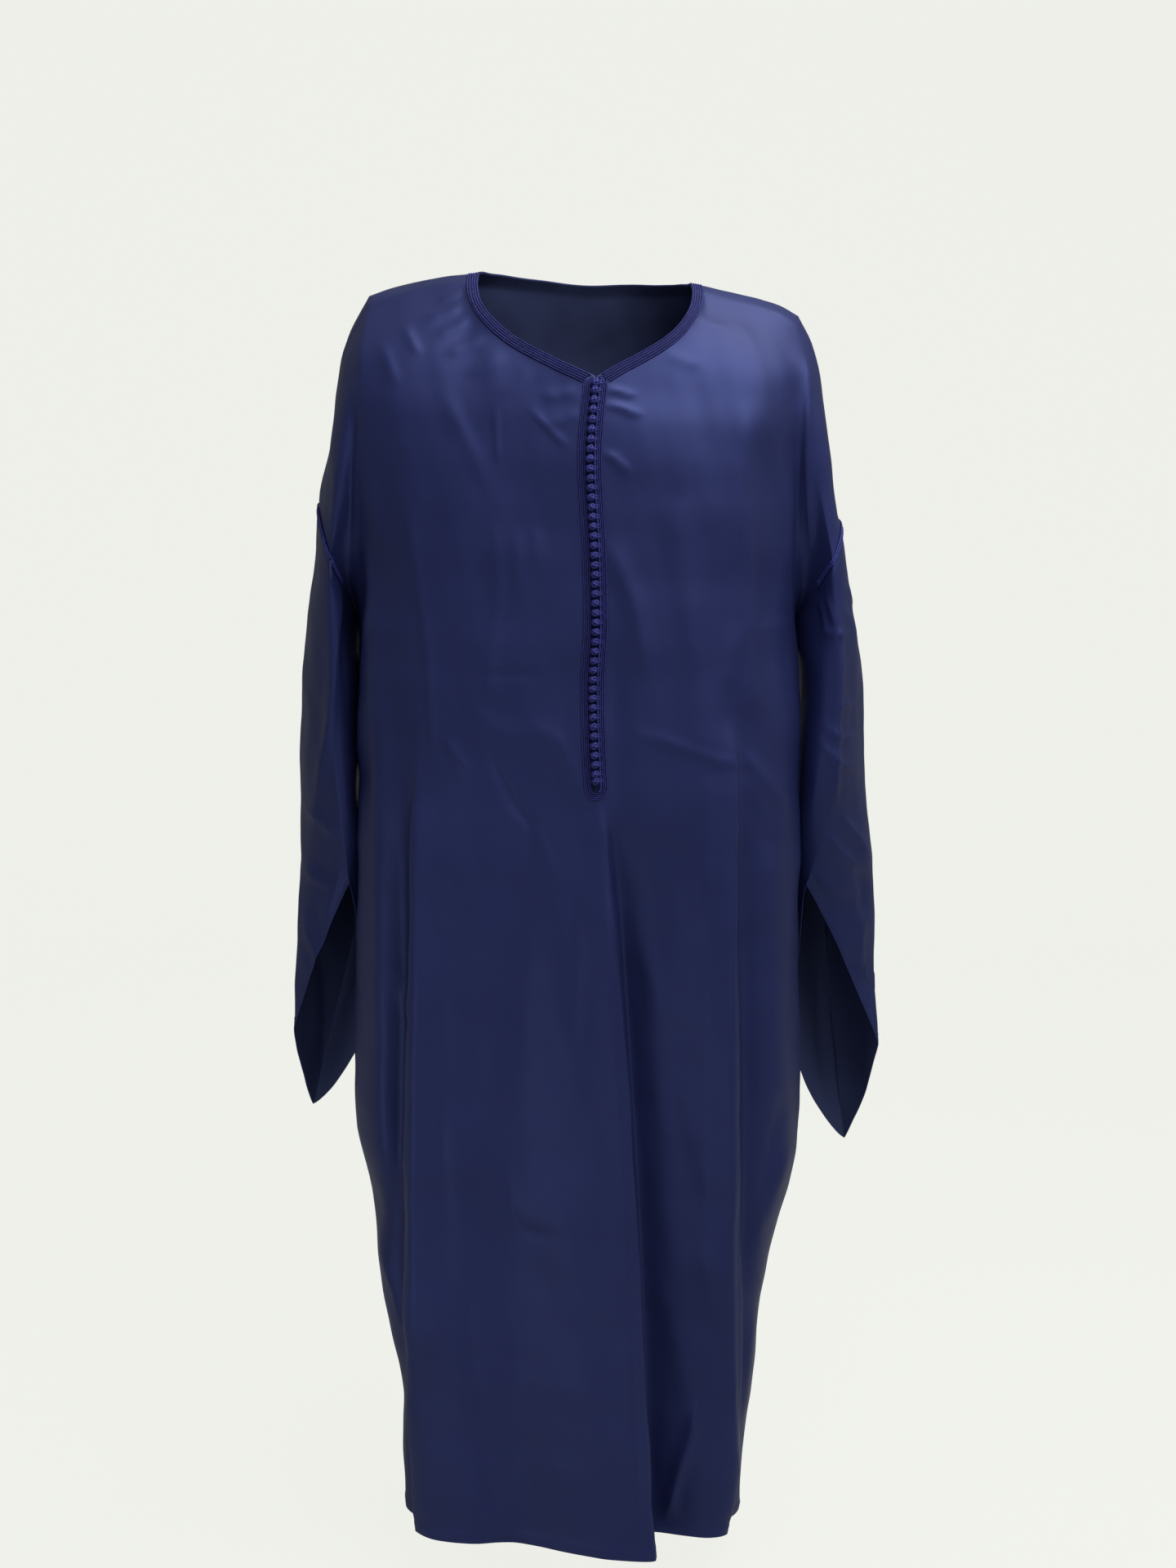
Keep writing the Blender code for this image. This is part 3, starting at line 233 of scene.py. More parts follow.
class Level:
    # a level section of the body, front from the left side seam to the right, back the other way
    def __init__(self, z):
        left, right, front, crease, back, sideSeam = fromTable(robe["body"], z)
        corner = robe["cornerOfFront"] * front + robe["cornerOfCrease"] * crease
        nearFront, nearBack = robe["frontFlat"] * front, robe["backFlat"] * back
        middle, edge, inner = robe["frontMiddle"], robe["frontCorner"], robe["backCorner"]
        seamY, backEdge, backEdgeY = robe["seamY"], robe["backCrease"], robe["backCreaseY"]
        ring = [
            (-sideSeam * left, seamY), (-left, -crease), (-edge * left, -corner), (-middle * left, -nearFront),
            (0.0, -front), (middle * right, -nearFront), (edge * right, -corner), (right, -crease),
            (sideSeam * right, seamY), (backEdge * right, backEdgeY), (inner * right, nearBack), (0.0, back),
            (-inner * left, nearBack), (-backEdge * left, backEdgeY),
        ]
        steps = robe["sectionSteps"]
        curve = smoothCurve(ring, steps, closed=True)
        self.front, self.back = curve[:8 * steps + 1], np.vstack([curve[8 * steps:], curve[:1]])
        self.frontArcs, self.backArcs = arcLengths(self.front), arcLengths(self.back)
        self.frontCreases = (self.frontArcs[steps], self.frontArcs[7 * steps])
        self.backCreases = (self.backArcs[steps], self.backArcs[5 * steps])

    def arcAt(self, x):
        inside = (self.frontArcs >= self.frontCreases[0]) & (self.frontArcs <= self.frontCreases[1])
        return float(np.interp(x, self.front[inside][:, 0], self.frontArcs[inside]))

    def backArcAt(self, x):
        inside = (self.backArcs >= self.backCreases[0]) & (self.backArcs <= self.backCreases[1])
        return float(np.interp(-x, -self.back[inside][:, 0], self.backArcs[inside]))


def between(stops, counts):
    values = [stops[0]]
    for start, end, count in zip(stops[:-1], stops[1:], counts):
        values += list(start + (end - start) * np.arange(1, count + 1) / count)
    return np.array(values)


side, shoulder, outer, strip = (robe[k + "Columns"] for k in ("side", "shoulder", "outer", "strip"))
frontCounts = [side, outer, shoulder + robe["neckColumnsLeft"] - outer, strip,
               strip, shoulder + robe["neckColumnsRight"] - outer, outer, side]
backCounts = [side, shoulder + robe["backNeckColumns"], shoulder + robe["backNeckColumns"], side]
middleColumn = sum(frontCounts[:4])


def bump(distance, leftWidth, rightWidth):
    return np.exp(-(distance / np.where(distance < 0.0, leftWidth, rightWidth)) ** 2)


def lifted(curve, curveArcs, arcs, lift):
    # points on a level section, moved out square to it
    reach = 0.004
    at = [np.stack([np.interp(arcs + step, curveArcs, curve[:, k]) for k in (0, 1)], axis=1)
          for step in (-reach, 0.0, reach)]
    along = at[2] - at[0]
    along /= np.linalg.norm(along, axis=1)[:, None]
    return at[1] + np.stack([along[:, 1], -along[:, 0]], axis=1) * lift[:, None]


def crowded(arcs, z):
    # below the armpit the columns beside the outer folds stand closer to them
    power = 1.0 + robe["foldCrowd"] * float(ease((robe["armpitZ"] - z) / robe["crowdDepth"]))
    t = np.arange(outer + 1) / outer
    for start, way in ((side, 1.0 - (1.0 - t) ** power), (len(arcs) - 1 - side - outer, t ** power)):
        arcs[start:start + outer + 1] = arcs[start] + (arcs[start + outer] - arcs[start]) * way
    return arcs


def frontRow(z):
    level = Level(z)
    leftFold, middle, rightFold = fromTable(robe["guides"], z)
    width = robe["braidWidth"]
    stops = [level.arcAt(x) for x in (leftFold, middle - width, middle, middle + width, rightFold)]
    stops = [0.0, level.frontCreases[0], *stops, level.frontCreases[1], level.frontArcs[-1]]
    arcs = crowded(between(stops, frontCounts), z)
    guides = {"left": leftFold, "middle": middle, "right": rightFold}
    lift = np.zeros(len(arcs))
    for guide, offset, start, full, height, hemHeight, leftWidth, rightWidth in robe["frontFolds"]:
        grown = height * float(ease((start - z) / (start - full)))
        if z < full:
            grown += (hemHeight - height) * (full - z) / (full - robe["hemZ"])
        lift += grown * bump(arcs - level.arcAt(guides[guide]) - offset, leftWidth, rightWidth)
    plan = lifted(level.front, level.frontArcs, arcs, lift)
    # the step in the middle leans over to the right
    start, full, lean, leftWidth, rightWidth = robe["stepLean"]
    leaning = lean * float(ease((start - z) / (start - full)))
    plan[:, 0] += leaning * bump(arcs - level.arcAt(middle), leftWidth, rightWidth)
    return np.column_stack([plan, np.full(len(plan), z)])


def backRow(z):
    level = Level(z)
    stops = [0.0, level.backCreases[0], level.backArcAt(0.0), level.backCreases[1], level.backArcs[-1]]
    arcs = between(stops, backCounts)
    down = (robe["armpitZ"] - z) / (robe["armpitZ"] - robe["hemZ"])
    lift = np.zeros(len(arcs))
    for xTop, xHem, height, width in robe["backFolds"]:
        place = level.backArcAt(xTop + (xHem - xTop) * down)
        lift += height * float(ease(robe["backFoldGrowth"] * down)) * bump(arcs - place, width, width)
    plan = lifted(level.back, level.backArcs, arcs, lift)
    return np.column_stack([plan, np.full(len(plan), z)])


def sleeveRing(which, place):
    # from the outer corner over the front to the inner one, and back behind the arm
    rows = []
    for inner, front, outside, back, outerHalf, innerHalf in robe["sleeve"][which]:
        if inner is None:
            edge = frontRow(robe["armpitZ"])[0 if which == "left" else -1]
            inner = (abs(edge[0]), edge[1], edge[2])
        rows.append(np.concatenate([inner, front, outside, back, [outerHalf, innerHalf]]))
    curve = smoothCurve(rows, 10)
    spot = place * (len(curve) - 1)
    values = np.array([np.interp(spot, np.arange(len(curve)), curve[:, k]) for k in range(curve.shape[1])])
    inner, front, outside, back = values[0:3], values[3:6], values[6:9], values[9:12]
    centre = 0.5 * (inner + outside)
    count = robe["topRows"] // 2
    turn = 0.5 * math.pi * np.arange(count)[:, None] / count
    ring = []
    for start, end, straight in ((outside, front, values[12]), (front, inner, values[13]),
                                 (inner, back, values[13]), (back, outside, values[12])):
        leaving, coming = np.cos(turn) ** straight, np.sin(turn) ** straight
        ring.append(centre + (start - centre) * leaving + (end - centre) * coming)
    ring = np.vstack(ring)
    ring[:, 0] *= outwards[which]
    return ring


def frontTopEdge():
    leftShoulder = evenly(smoothCurve(robe["shoulder"]["left"][::-1]), shoulder)
    rightShoulder = evenly(smoothCurve(robe["shoulder"]["right"]), shoulder)
    halves = []
    for name, count in (("neckLeft", robe["neckColumnsLeft"]), ("neckRight", robe["neckColumnsRight"])):
        curve = smoothCurve(robe[name])
        start = robe["neckStrip"] * robe["braidWidth"]
        lengths = np.concatenate([np.linspace(0.0, start, strip + 1),
                                  np.linspace(start, arcLengths(curve)[-1], count + 1)[1:]])
        halves.append(pointsAlong(curve, lengths))
    return np.vstack([leftShoulder[:-1], halves[0][::-1], halves[1][1:], rightShoulder[1:]])


def backTopEdge():
    rightShoulder = evenly(smoothCurve(robe["shoulder"]["right"][::-1]), shoulder)
    leftShoulder = evenly(smoothCurve(robe["shoulder"]["left"]), shoulder)
    neck = evenly(smoothCurve(robe["neckBack"]), 2 * robe["backNeckColumns"])[::-1]
    return np.vstack([rightShoulder[:-1], neck, leftShoulder[1:]])


def coons(top, bottom, inner, outside):
    # a patch between four edges
    v = np.linspace(0.0, 1.0, len(inner))[:, None, None]
    u = np.linspace(0.0, 1.0, len(top))[None, :, None]
    across = (1 - v) * top[None] + v * bottom[None]
    down = (1 - u) * inner[:, None] + u * outside[:, None]
    corners = (1 - v) * ((1 - u) * top[0] + u * top[-1]) + v * ((1 - u) * bottom[0] + u * bottom[-1])
    return across + down - corners


def slitX(z):
    return np.interp(-z, [-row[0] for row in robe["slitLine"]], [row[1] for row in robe["slitLine"]])


def runs(points, axis):
    # arc length from the first row or column on
    steps = np.linalg.norm(np.diff(points, axis=axis), axis=2)
    zero = np.zeros((1, points.shape[1])) if axis == 0 else np.zeros((points.shape[0], 1))
    return np.concatenate([zero, np.cumsum(steps, axis=axis)], axis=axis)


def roundedDrop(drop, height):
    leftOver = 1.0 - np.clip(drop / height, 0.0, 1.0)
    return (1.0 - leftOver ** robe["shoulderRound"]) ** (1.0 / robe["shoulderRound"])


def depthIn(samples, x, z):
    # how far out the hanging cloth is at x, between the sampled rows
    depths = []
    for row in samples:
        order = np.argsort(row[:, 0])
        depths.append(np.interp(x, row[order, 0], row[order, 1]))
    depths, heights = np.array(depths), -samples[:, 0, 2]
    place = np.clip(np.interp(-z, heights, np.arange(len(heights))), 0, len(heights) - 1.001)
    low = place.astype(int)
    part = place - low
    column = np.arange(len(x))
    return (1.0 - part) * depths[low, column] + part * depths[low + 1, column]


def fanned(x, fallen, topEdge):
    # beside the neck's ends the columns fan out, because the neck's edge runs along with them
    arcs, rows = arcLengths(topEdge), robe["topRows"]
    fading = np.clip(fallen / robe["braidWidth"], 0.0, 1.0) * (1.0 - np.arange(rows + 1)[:, None] / rows)
    turned = math.copysign(1.0, topEdge[-1, 0] - topEdge[0, 0])
    for end, out in ((shoulder, -turned), (len(topEdge) - shoulder - 1, turned)):
        x = x + out * robe["fanSpread"] * fading * np.exp(-((arcs - arcs[end]) / robe["fanReach"]) ** 2)
    return x


def panelTop(topEdge, bottomRow, samples, height, isFront):
    # the middle of a panel, from the shoulder to the armpit's level
    rows = robe["topRows"]
    first, last = shoulder, len(topEdge) - shoulder - 1
    parts = ((np.arange(rows + 1) / rows) ** robe["rowEase"])[:, None]
    bottom = bottomRow[side:side + len(topEdge)]
    x = topEdge[:, 0] + (bottom[:, 0] - topEdge[:, 0]) * parts
    z = topEdge[:, 2] + (bottom[:, 2] - topEdge[:, 2]) * parts
    x = fanned(x, runs(np.stack([x, np.zeros_like(x), z], axis=-1), 0), topEdge)
    if isFront:
        middle = middleColumn - side
        sway = slitX(z[:, middle]) - x[:, middle]
        sway[0] = 0.0
        away = np.abs(x - x[:, middle:middle + 1])
        x += sway[:, None] * (1.0 - ease(away / robe["swayReach"]))
    # ridge that the cloth falls from: the shoulders, and between them the line that the neck cuts
    span = np.linspace(0.0, 1.0, 21)
    neckX = topEdge[first, 0] + (topEdge[last, 0] - topEdge[first, 0]) * span
    neckZ = topEdge[first, 2] + (topEdge[last, 2] - topEdge[first, 2]) * span
    if not isFront:
        neckZ = neckZ + robe["backNeckRise"] * np.sin(math.pi * span)
    ridge = np.vstack([topEdge[:first, [0, 2]], np.column_stack([neckX, neckZ]), topEdge[last + 1:, [0, 2]]])
    ridge = ridge[np.argsort(ridge[:, 0])]

    def depthAt(row):
        ridgeZ = np.maximum(np.interp(x[row], ridge[:, 0], ridge[:, 1]), z[row])
        return depthIn(samples, x[row], z[row]) * roundedDrop(ridgeZ - z[row], height)

    # the neck's edge keeps its own depth, except beside its ends, where it lies on the hanging cloth
    arcs = arcLengths(topEdge)
    fromEnds = np.minimum(np.abs(arcs - arcs[first]), np.abs(arcs - arcs[last]))
    apart = (topEdge[:, 1] - depthAt(0)) * ease(fromEnds / robe["neckBlend"])
    y = np.array([depthAt(row) for row in range(rows + 1)]) + apart * (1.0 - parts) ** robe["neckEase"]
    block = np.stack([x, y, z], axis=-1)
    # evened out below the braid, down the cloth and, away from the slit, across it
    share = 0.5 * ease((np.arange(rows + 1)[1:-1, None, None] - robe["evenFrom"]) / robe["evenFrom"])
    fromMiddle = np.abs(np.arange(len(arcs)) - (middleColumn - side if isFront else -len(arcs)))
    across = share * ease(fromMiddle[None, 1:-1, None] / robe["evenFrom"] - 1.0)
    for number in range(robe["evenPasses"]):
        block[1:-1] += share * (0.5 * (block[:-2] + block[2:]) - block[1:-1])
        if number % robe["evenAcrossEvery"] == 0:
            inner = block[1:-1, 1:-1]
            inner += across * (0.5 * (block[1:-1, :-2] + block[1:-1, 2:]) - inner)
    block[-1] = bottom
    return block


def panelPoints(rowAt, topEdge, height, isFront):
    hemBand, fold = robe["hemZ"] + robe["hemBand"], robe["hemFold"]
    lowerZ = np.concatenate([
        np.linspace(robe["armpitZ"], robe["slitEndZ"], robe["slitRows"] + 1),
        np.linspace(robe["slitEndZ"], hemBand + fold, robe["skirtRows"] + 1)[1:],
        [hemBand, hemBand - fold, robe["hemZ"] + 2.0 * fold, robe["hemZ"] + 0.5 * fold, robe["hemZ"]],
    ])
    lower = np.array([rowAt(z) for z in lowerZ])
    sampleZ = np.linspace(robe["body"][0][0], robe["armpitZ"], robe["topSamples"])
    samples = np.array([rowAt(z) for z in sampleZ])
    middle = panelTop(topEdge, lower[0], samples, height, isFront)
    rows = robe["topRows"]
    caps = []
    for which, inner, bottom in (
        ("left" if isFront else "right", middle[:, 0], lower[0][:side + 1][::-1]),
        ("right" if isFront else "left", middle[:, -1], lower[0][-side - 1:]),
    ):
        ring = sleeveRing(which, 0.0)
        seam = ring[:rows + 1] if isFront else np.vstack([ring[:1], ring[rows:][::-1]])
        caps.append(coons(evenly(smoothCurve(robe["upperArm"][which]), side), bottom, inner, seam))
    top = np.concatenate([caps[0][:, ::-1][:, :-1], middle, caps[1][:, 1:]], axis=1)
    return np.concatenate([top, lower[1:]], axis=0)


# creases: soft ridges and troughs along lines seen in the photograph, in its pixels

# millimetres to a pixel on the front, how much higher a crease is than its row says, how many widths it
# reaches, how fast a sharp one falls, the part of its length and the pixels in which it fades, and the row of
# pixels below which it runs on to the hem
creaseForm = {"pixel": 0.9, "gain": 1.4, "reach": 3.2, "sharpFall": 1.4, "fadePart": 0.35, "fadeMost": 60.0,
              "hemFrom": 1830}

# points, height, width on the left of the line and on its right (going down), sharpness;
# height and widths in millimetres
frontCreases = {
    "leftFold": ([(511, 960), (508, 1100), (507, 1280), (506, 1423), (503, 1470), (504, 1560),
                  (504, 1845)], 5, 6, 16, 0.7),
    "leftFoldTrough": ([(497, 1010), (494, 1130), (492, 1290), (490, 1440), (490, 1600)], -1.5, 10, 7, 0.3),
    "leftStripRidge": ([(457, 700), (461, 860), (463, 1000), (465, 1180), (470, 1330),
                        (480, 1460)], 3, 8, 12, 0.3),
    "leftStripDiagonal": ([(474, 1165), (491, 1209), (503, 1255)], 3, 4, 5, 0.6),
    "leftOuter": ([(462, 1479), (473, 1544), (488, 1597), (500, 1656)], 4, 5, 7, 0.5),
    "rightFold": ([(897, 870), (897, 1000), (897, 1280), (899, 1459), (896, 1530),
                   (898, 1845)], 6, 18, 5, 0.7),
    "rightFoldTrough": ([(905, 960), (907, 1150), (908, 1400), (906, 1600)], -1.5, 5, 12, 0.3),
    "rightSide": ([(973, 1385), (944, 1456), (915, 1544)], 4, 6, 10, 0.4),
    "rightSideInner": ([(960, 1330), (940, 1440), (930, 1530)], -4, 6, 8, 0.4),
    "rightSideLow": ([(925, 1590), (913, 1660), (906, 1760)], 3, 6, 6, 0.4),
    "step": ([(741, 975), (742, 1025), (746, 1112), (750, 1199), (756, 1300), (763, 1407),
              (772, 1568), (777, 1693), (784, 1845)], 2.5, 20, 3, 0.7),
    "stepTrough": ([(752, 1000), (760, 1199), (768, 1320), (784, 1568), (797, 1845)], -1.5, 6, 14, 0.3),
    "skirtBend": ([(615, 1409), (622, 1455), (629, 1497), (656, 1512), (703, 1520)], -2.2, 4, 6, 0.4),
    "skirtShort": ([(538, 1362), (541, 1420), (544, 1479)], -1.8, 4, 5, 0.3),
    "skirtLow": ([(566, 1560), (575, 1660), (585, 1744), (600, 1842)], -4, 7, 12, 0.3),
    "skirtLowRight": ([(862, 1700), (846, 1765), (832, 1803), (822, 1842)], 4, 9, 6, 0.4),
    "skirtSoftA": ([(538, 1100), (540, 1250), (545, 1500), (552, 1700)], -1.2, 12, 12, 0),
    "skirtSoftB": ([(650, 1080), (645, 1200), (640, 1380)], -0.9, 12, 16, 0),
    "skirtSoftC": ([(704, 1075), (706, 1180), (702, 1290)], -2.2, 12, 7, 0.3),
    "skirtSoftD": ([(822, 985), (826, 1200), (829, 1400), (833, 1640)], -1.8, 16, 18, 0),
    "skirtSoftE": ([(866, 930), (868, 1100), (868, 1400), (872, 1600)], 1.6, 12, 14, 0),
    "skirtSoftF": ([(598, 1100), (606, 1300), (600, 1400)], 1.6, 16, 16, 0),
    "chestLeftLong": ([(497, 600), (512, 715), (522, 790), (527, 870), (529, 930)], 1.8, 4, 6, 0.4),
    "chestLeftEdge": ([(443, 650), (455, 728), (450, 823), (443, 900), (439, 960)], 4.5, 6, 10, 0.3),
    "chestLeftInner": ([(468, 560), (474, 700), (477, 850), (480, 990)], -1.5, 10, 12, 0),
    "chestMark": ([(607, 490), (607, 530), (610, 575)], 1.5, 2.2, 3, 0.4),
    "chestDiagonalA": ([(645, 497), (672, 525), (700, 554)], 1.3, 4, 5, 0.3),
    "chestDiagonalB": ([(493, 393), (503, 416), (517, 440)], 1.8, 5, 5, 0.3),
    "chestDiagonalC": ([(466, 415), (477, 447), (488, 480)], 1.6, 6, 6, 0.2),
    "chestDiagonalD": ([(535, 470), (562, 520), (584, 565), (600, 620)], 1.3, 10, 10, 0.1),
    "chestSoftA": ([(600, 620), (610, 700), (606, 760), (598, 830), (600, 880)], 1.2, 8, 10, 0.1),
    "chestSoftB": ([(632, 640), (634, 690), (631, 740)], 0.9, 7, 8, 0),
    "chestSoftC": ([(655, 640), (656, 668), (653, 700)], 0.8, 7, 8, 0),
    "chestLevel": ([(560, 832), (610, 826), (680, 828)], -1.2, 5, 5, 0.2),
    "chestLevelLow": ([(560, 850), (610, 893), (645, 897), (690, 870)], 1.2, 12, 10, 0),
    "bellyLeft": ([(540, 900), (560, 930), (578, 955)], 2.2, 6, 7, 0.3),
    "bellyLong": ([(592, 900), (610, 945), (630, 985), (648, 1010), (650, 1030),
                   (640, 1070)], -2.2, 4.5, 6, 0.4),
    "bellySlant": ([(636, 1000), (668, 1040), (680, 1090)], 1.4, 6, 6, 0.2),
    "bellyToU": ([(640, 895), (680, 905), (705, 955), (722, 990)], 1.8, 10, 8, 0.1),
    "streakA": ([(738, 474), (756, 478), (782, 487)], 2.2, 3.5, 3, 0.4),
    "streakB": ([(737, 494), (760, 499), (790, 512)], 2.6, 3.5, 3.5, 0.3),
    "streakC": ([(735, 550), (753, 563), (774, 584)], 2.6, 3.5, 3.5, 0.4),
    "streakD": ([(710, 474), (690, 482), (660, 490)], 1.4, 7, 6, 0.1),
    "streakE": ([(712, 500), (690, 515), (665, 520)], 1.2, 7, 6, 0.1),
    "rightRidge": ([(738, 650), (760, 700), (778, 745), (788, 800), (790, 850)], 3.4, 12, 14, 0.1),
    "rightRidgeShade": ([(750, 760), (754, 850), (752, 940), (750, 1010)], -2.6, 14, 16, 0.1),
    "rightSoftA": ([(822, 600), (840, 700), (852, 800), (866, 900), (878, 960)], 2.8, 18, 16, 0),
    "rightSoftB": ([(905, 760), (896, 800), (893, 860)], 2.4, 10, 6, 0.3),
    "rightSoftC": ([(935, 520), (940, 700), (945, 900), (950, 1080)], -2.8, 14, 14, 0),
    "rightSoftD": ([(920, 480), (912, 600), (915, 760), (922, 900)], 2.2, 14, 14, 0),
    "rightLevel": ([(755, 894), (815, 908), (880, 932), (936, 936)], 1.7, 5, 6, 0.3),
    "rightSlant": ([(895, 905), (935, 950), (977, 1003)], 2.2, 6, 7, 0.3),
    "rightKnee": ([(905, 965), (930, 1010), (950, 1060)], -1.8, 10, 10, 0.1),
    "rightEdge": ([(969, 560), (966, 700), (972, 823), (975, 894), (976, 1110)], 4, 12, 4, 0.7),
    "neckWrinkleA": ([(574, 356), (555, 362), (530, 368)], 1.6, 4, 4, 0.2),
    "neckWrinkleB": ([(573, 372), (550, 383), (515, 392)], 1.8, 5, 5, 0.2),
    "neckWrinkleC": ([(581, 390), (556, 404), (528, 414)], 1.8, 5, 5, 0.2),
    "neckWrinkleD": ([(598, 410), (570, 426), (540, 436)], 1.6, 6, 6, 0.2),
    "neckWrinkleE": ([(622, 426), (600, 446), (566, 462)], 0.8, 7, 7, 0.1),
    "neckWrinkleF": ([(655, 444), (638, 466), (610, 490)], 0.8, 7, 7, 0.1),
    "neckWrinkleG": ([(812, 424), (835, 440), (868, 448)], 1.2, 7, 7, 0.1),
    "neckWrinkleH": ([(846, 388), (868, 398), (900, 404)], 1.2, 6, 6, 0.1),
    "shoulderBreak": ([(985, 400), (990, 470), (989, 550), (993, 690)], 4, 14, 5, 0.6),
    "shoulderFold": ([(975, 430), (973, 520), (971, 600)], -2, 8, 8, 0.2),
    "leftArmLine": ([(432, 470), (428, 570), (426, 680)], -5, 5, 7, 0.5),
    "leftArmRidge": ([(417, 540), (413, 600), (408, 680)], 3, 7, 8, 0.3),
}

backCreases = {
    "shoulderA": ([(500, 400), (545, 470), (600, 520)], 2, 8, 10, 0.2),
    "shoulderB": ([(930, 410), (890, 480), (840, 520)], 1.8, 9, 10, 0.2),
    "bladeA": ([(560, 520), (580, 640), (570, 780), (585, 900)], 2.4, 10, 14, 0.1),
    "bladeB": ([(860, 540), (850, 660), (862, 800), (850, 930)], 2.6, 12, 12, 0.1),
    "middle": ([(715, 500), (708, 700), (716, 900)], -2.2, 20, 22, 0),
    "slantA": ([(470, 880), (540, 930), (610, 960)], 2, 8, 8, 0.3),
    "slantB": ([(960, 860), (900, 930), (820, 985)], 2.2, 8, 8, 0.3),
    "waistA": ([(640, 1000), (690, 1025), (760, 1010)], -1.6, 10, 10, 0.1),
    "skirtA": ([(530, 1050), (540, 1300), (556, 1600), (560, 1840)], 4, 12, 8, 0.4),
    "skirtB": ([(660, 1080), (655, 1300), (668, 1560), (665, 1840)], 4.5, 10, 14, 0.4),
    "skirtC": ([(800, 1040), (796, 1280), (790, 1500), (800, 1840)], 4, 8, 14, 0.4),
    "skirtD": ([(890, 1100), (880, 1350), (862, 1600), (850, 1840)], 3.5, 12, 10, 0.3),
    "skirtE": ([(600, 1450), (616, 1600), (622, 1790)], -2.5, 10, 10, 0.1),
    "skirtF": ([(735, 1300), (728, 1500), (740, 1700)], -2.5, 10, 12, 0.1),
}

# sleeves: the same, with the half of the sleeve that they are on
sleeveCreases = {
    "left": {
        "frontEdge": ("front", [(419, 690), (414, 760), (408, 850), (397, 940),
                                (386, 1025)], 4.5, 10, 6, 0.5),
        "innerLine": ("front", [(424, 690), (423, 800), (428, 900)], -2, 6, 6, 0.2),
        "outerSoft": ("front", [(388, 700), (380, 850), (384, 1000), (378, 1120)], 2.5, 10, 10, 0.1),
        "elbowA": ("front", [(372, 985), (392, 1000), (415, 1030)], 2.2, 5, 6, 0.4),
        "elbowB": ("front", [(371, 1050), (385, 1072), (410, 1090)], 2.4, 6, 6, 0.3),
        "cuffFold": ("front", [(376, 1100), (378, 1140), (392, 1180), (386, 1222)], 3.2, 6, 8, 0.4),
        "cuffSoft": ("front", [(420, 1060), (404, 1110), (398, 1160)], 2, 8, 8, 0.1),
        "backA": ("back", [(385, 800), (395, 900), (390, 1010)], 3, 10, 10, 0.3),
        "backB": ("back", [(372, 1000), (396, 1060), (420, 1080)], 2.6, 7, 7, 0.3),
        "backC": ("back", [(380, 1120), (398, 1210), (394, 1330)], 3, 8, 8, 0.3),
    },
    "right": {
        "pressed": ("front", [(1025, 722), (1027, 800), (1025, 865), (1023, 930),
                              (1025, 1000)], 4, 6, 5, 0.6),
        "levelA": ("front", [(1000, 772), (1025, 776), (1044, 780)], 1.6, 4, 4, 0.3),
        "levelB": ("front", [(1020, 868), (1036, 864), (1052, 866)], 1.8, 4, 4, 0.4),
        "levelC": ("front", [(1004, 884), (1030, 903), (1056, 900)], 2, 5, 4, 0.4),
        "levelD": ("front", [(1000, 905), (1030, 936), (1056, 938)], 2, 5, 5, 0.4),
        "upperA": ("front", [(1032, 740), (1040, 760), (1047, 790)], 1.6, 4, 4, 0.4),
        "elbowA": ("front", [(1022, 990), (1040, 1012), (1055, 1040), (1060, 1075)], 3, 5, 6, 0.5),
        "elbowB": ("front", [(1008, 1010), (1025, 1040), (1047, 1060), (1062, 1070)], 2.6, 6, 6, 0.4),
        "elbowC": ("front", [(1045, 1055), (1057, 1090), (1053, 1130)], -3, 5, 5, 0.4),
        "elbowD": ("front", [(995, 1060), (1020, 1086), (1050, 1080)], 2, 8, 8, 0.1),
        "cuffA": ("front", [(1058, 1110), (1052, 1150), (1056, 1192)], 2.8, 5, 6, 0.4),
        "cuffMark": ("front", [(1041, 1187), (1052, 1189), (1065, 1195)], 1.8, 3, 3, 0.5),
        "cuffB": ("front", [(1010, 1110), (1028, 1150), (1048, 1176)], 2, 10, 8, 0.1),
        "gatherA": ("front", [(1003, 728), (1008, 752), (1014, 780)], 1.4, 3, 3, 0.3),
        "gatherB": ("front", [(1011, 722), (1017, 744), (1024, 768)], 1.4, 3, 3, 0.3),
        "gatherC": ("front", [(1036, 712), (1041, 732), (1049, 748)], 1.2, 3, 3, 0.3),
        "insideFold": ("back", [(1012, 1174), (1026, 1273), (1035, 1385)], -4, 8, 8, 0.3),
        "insideSoft": ("back", [(998, 1150), (1003, 1230), (1012, 1330)], 3, 8, 8, 0.1),
        "backA": ("back", [(1030, 780), (1024, 900), (1030, 1000)], 3, 10, 10, 0.3),
        "backB": ("back", [(1005, 1010), (1035, 1050), (1058, 1060)], 2.6, 7, 7, 0.3),
    },
}


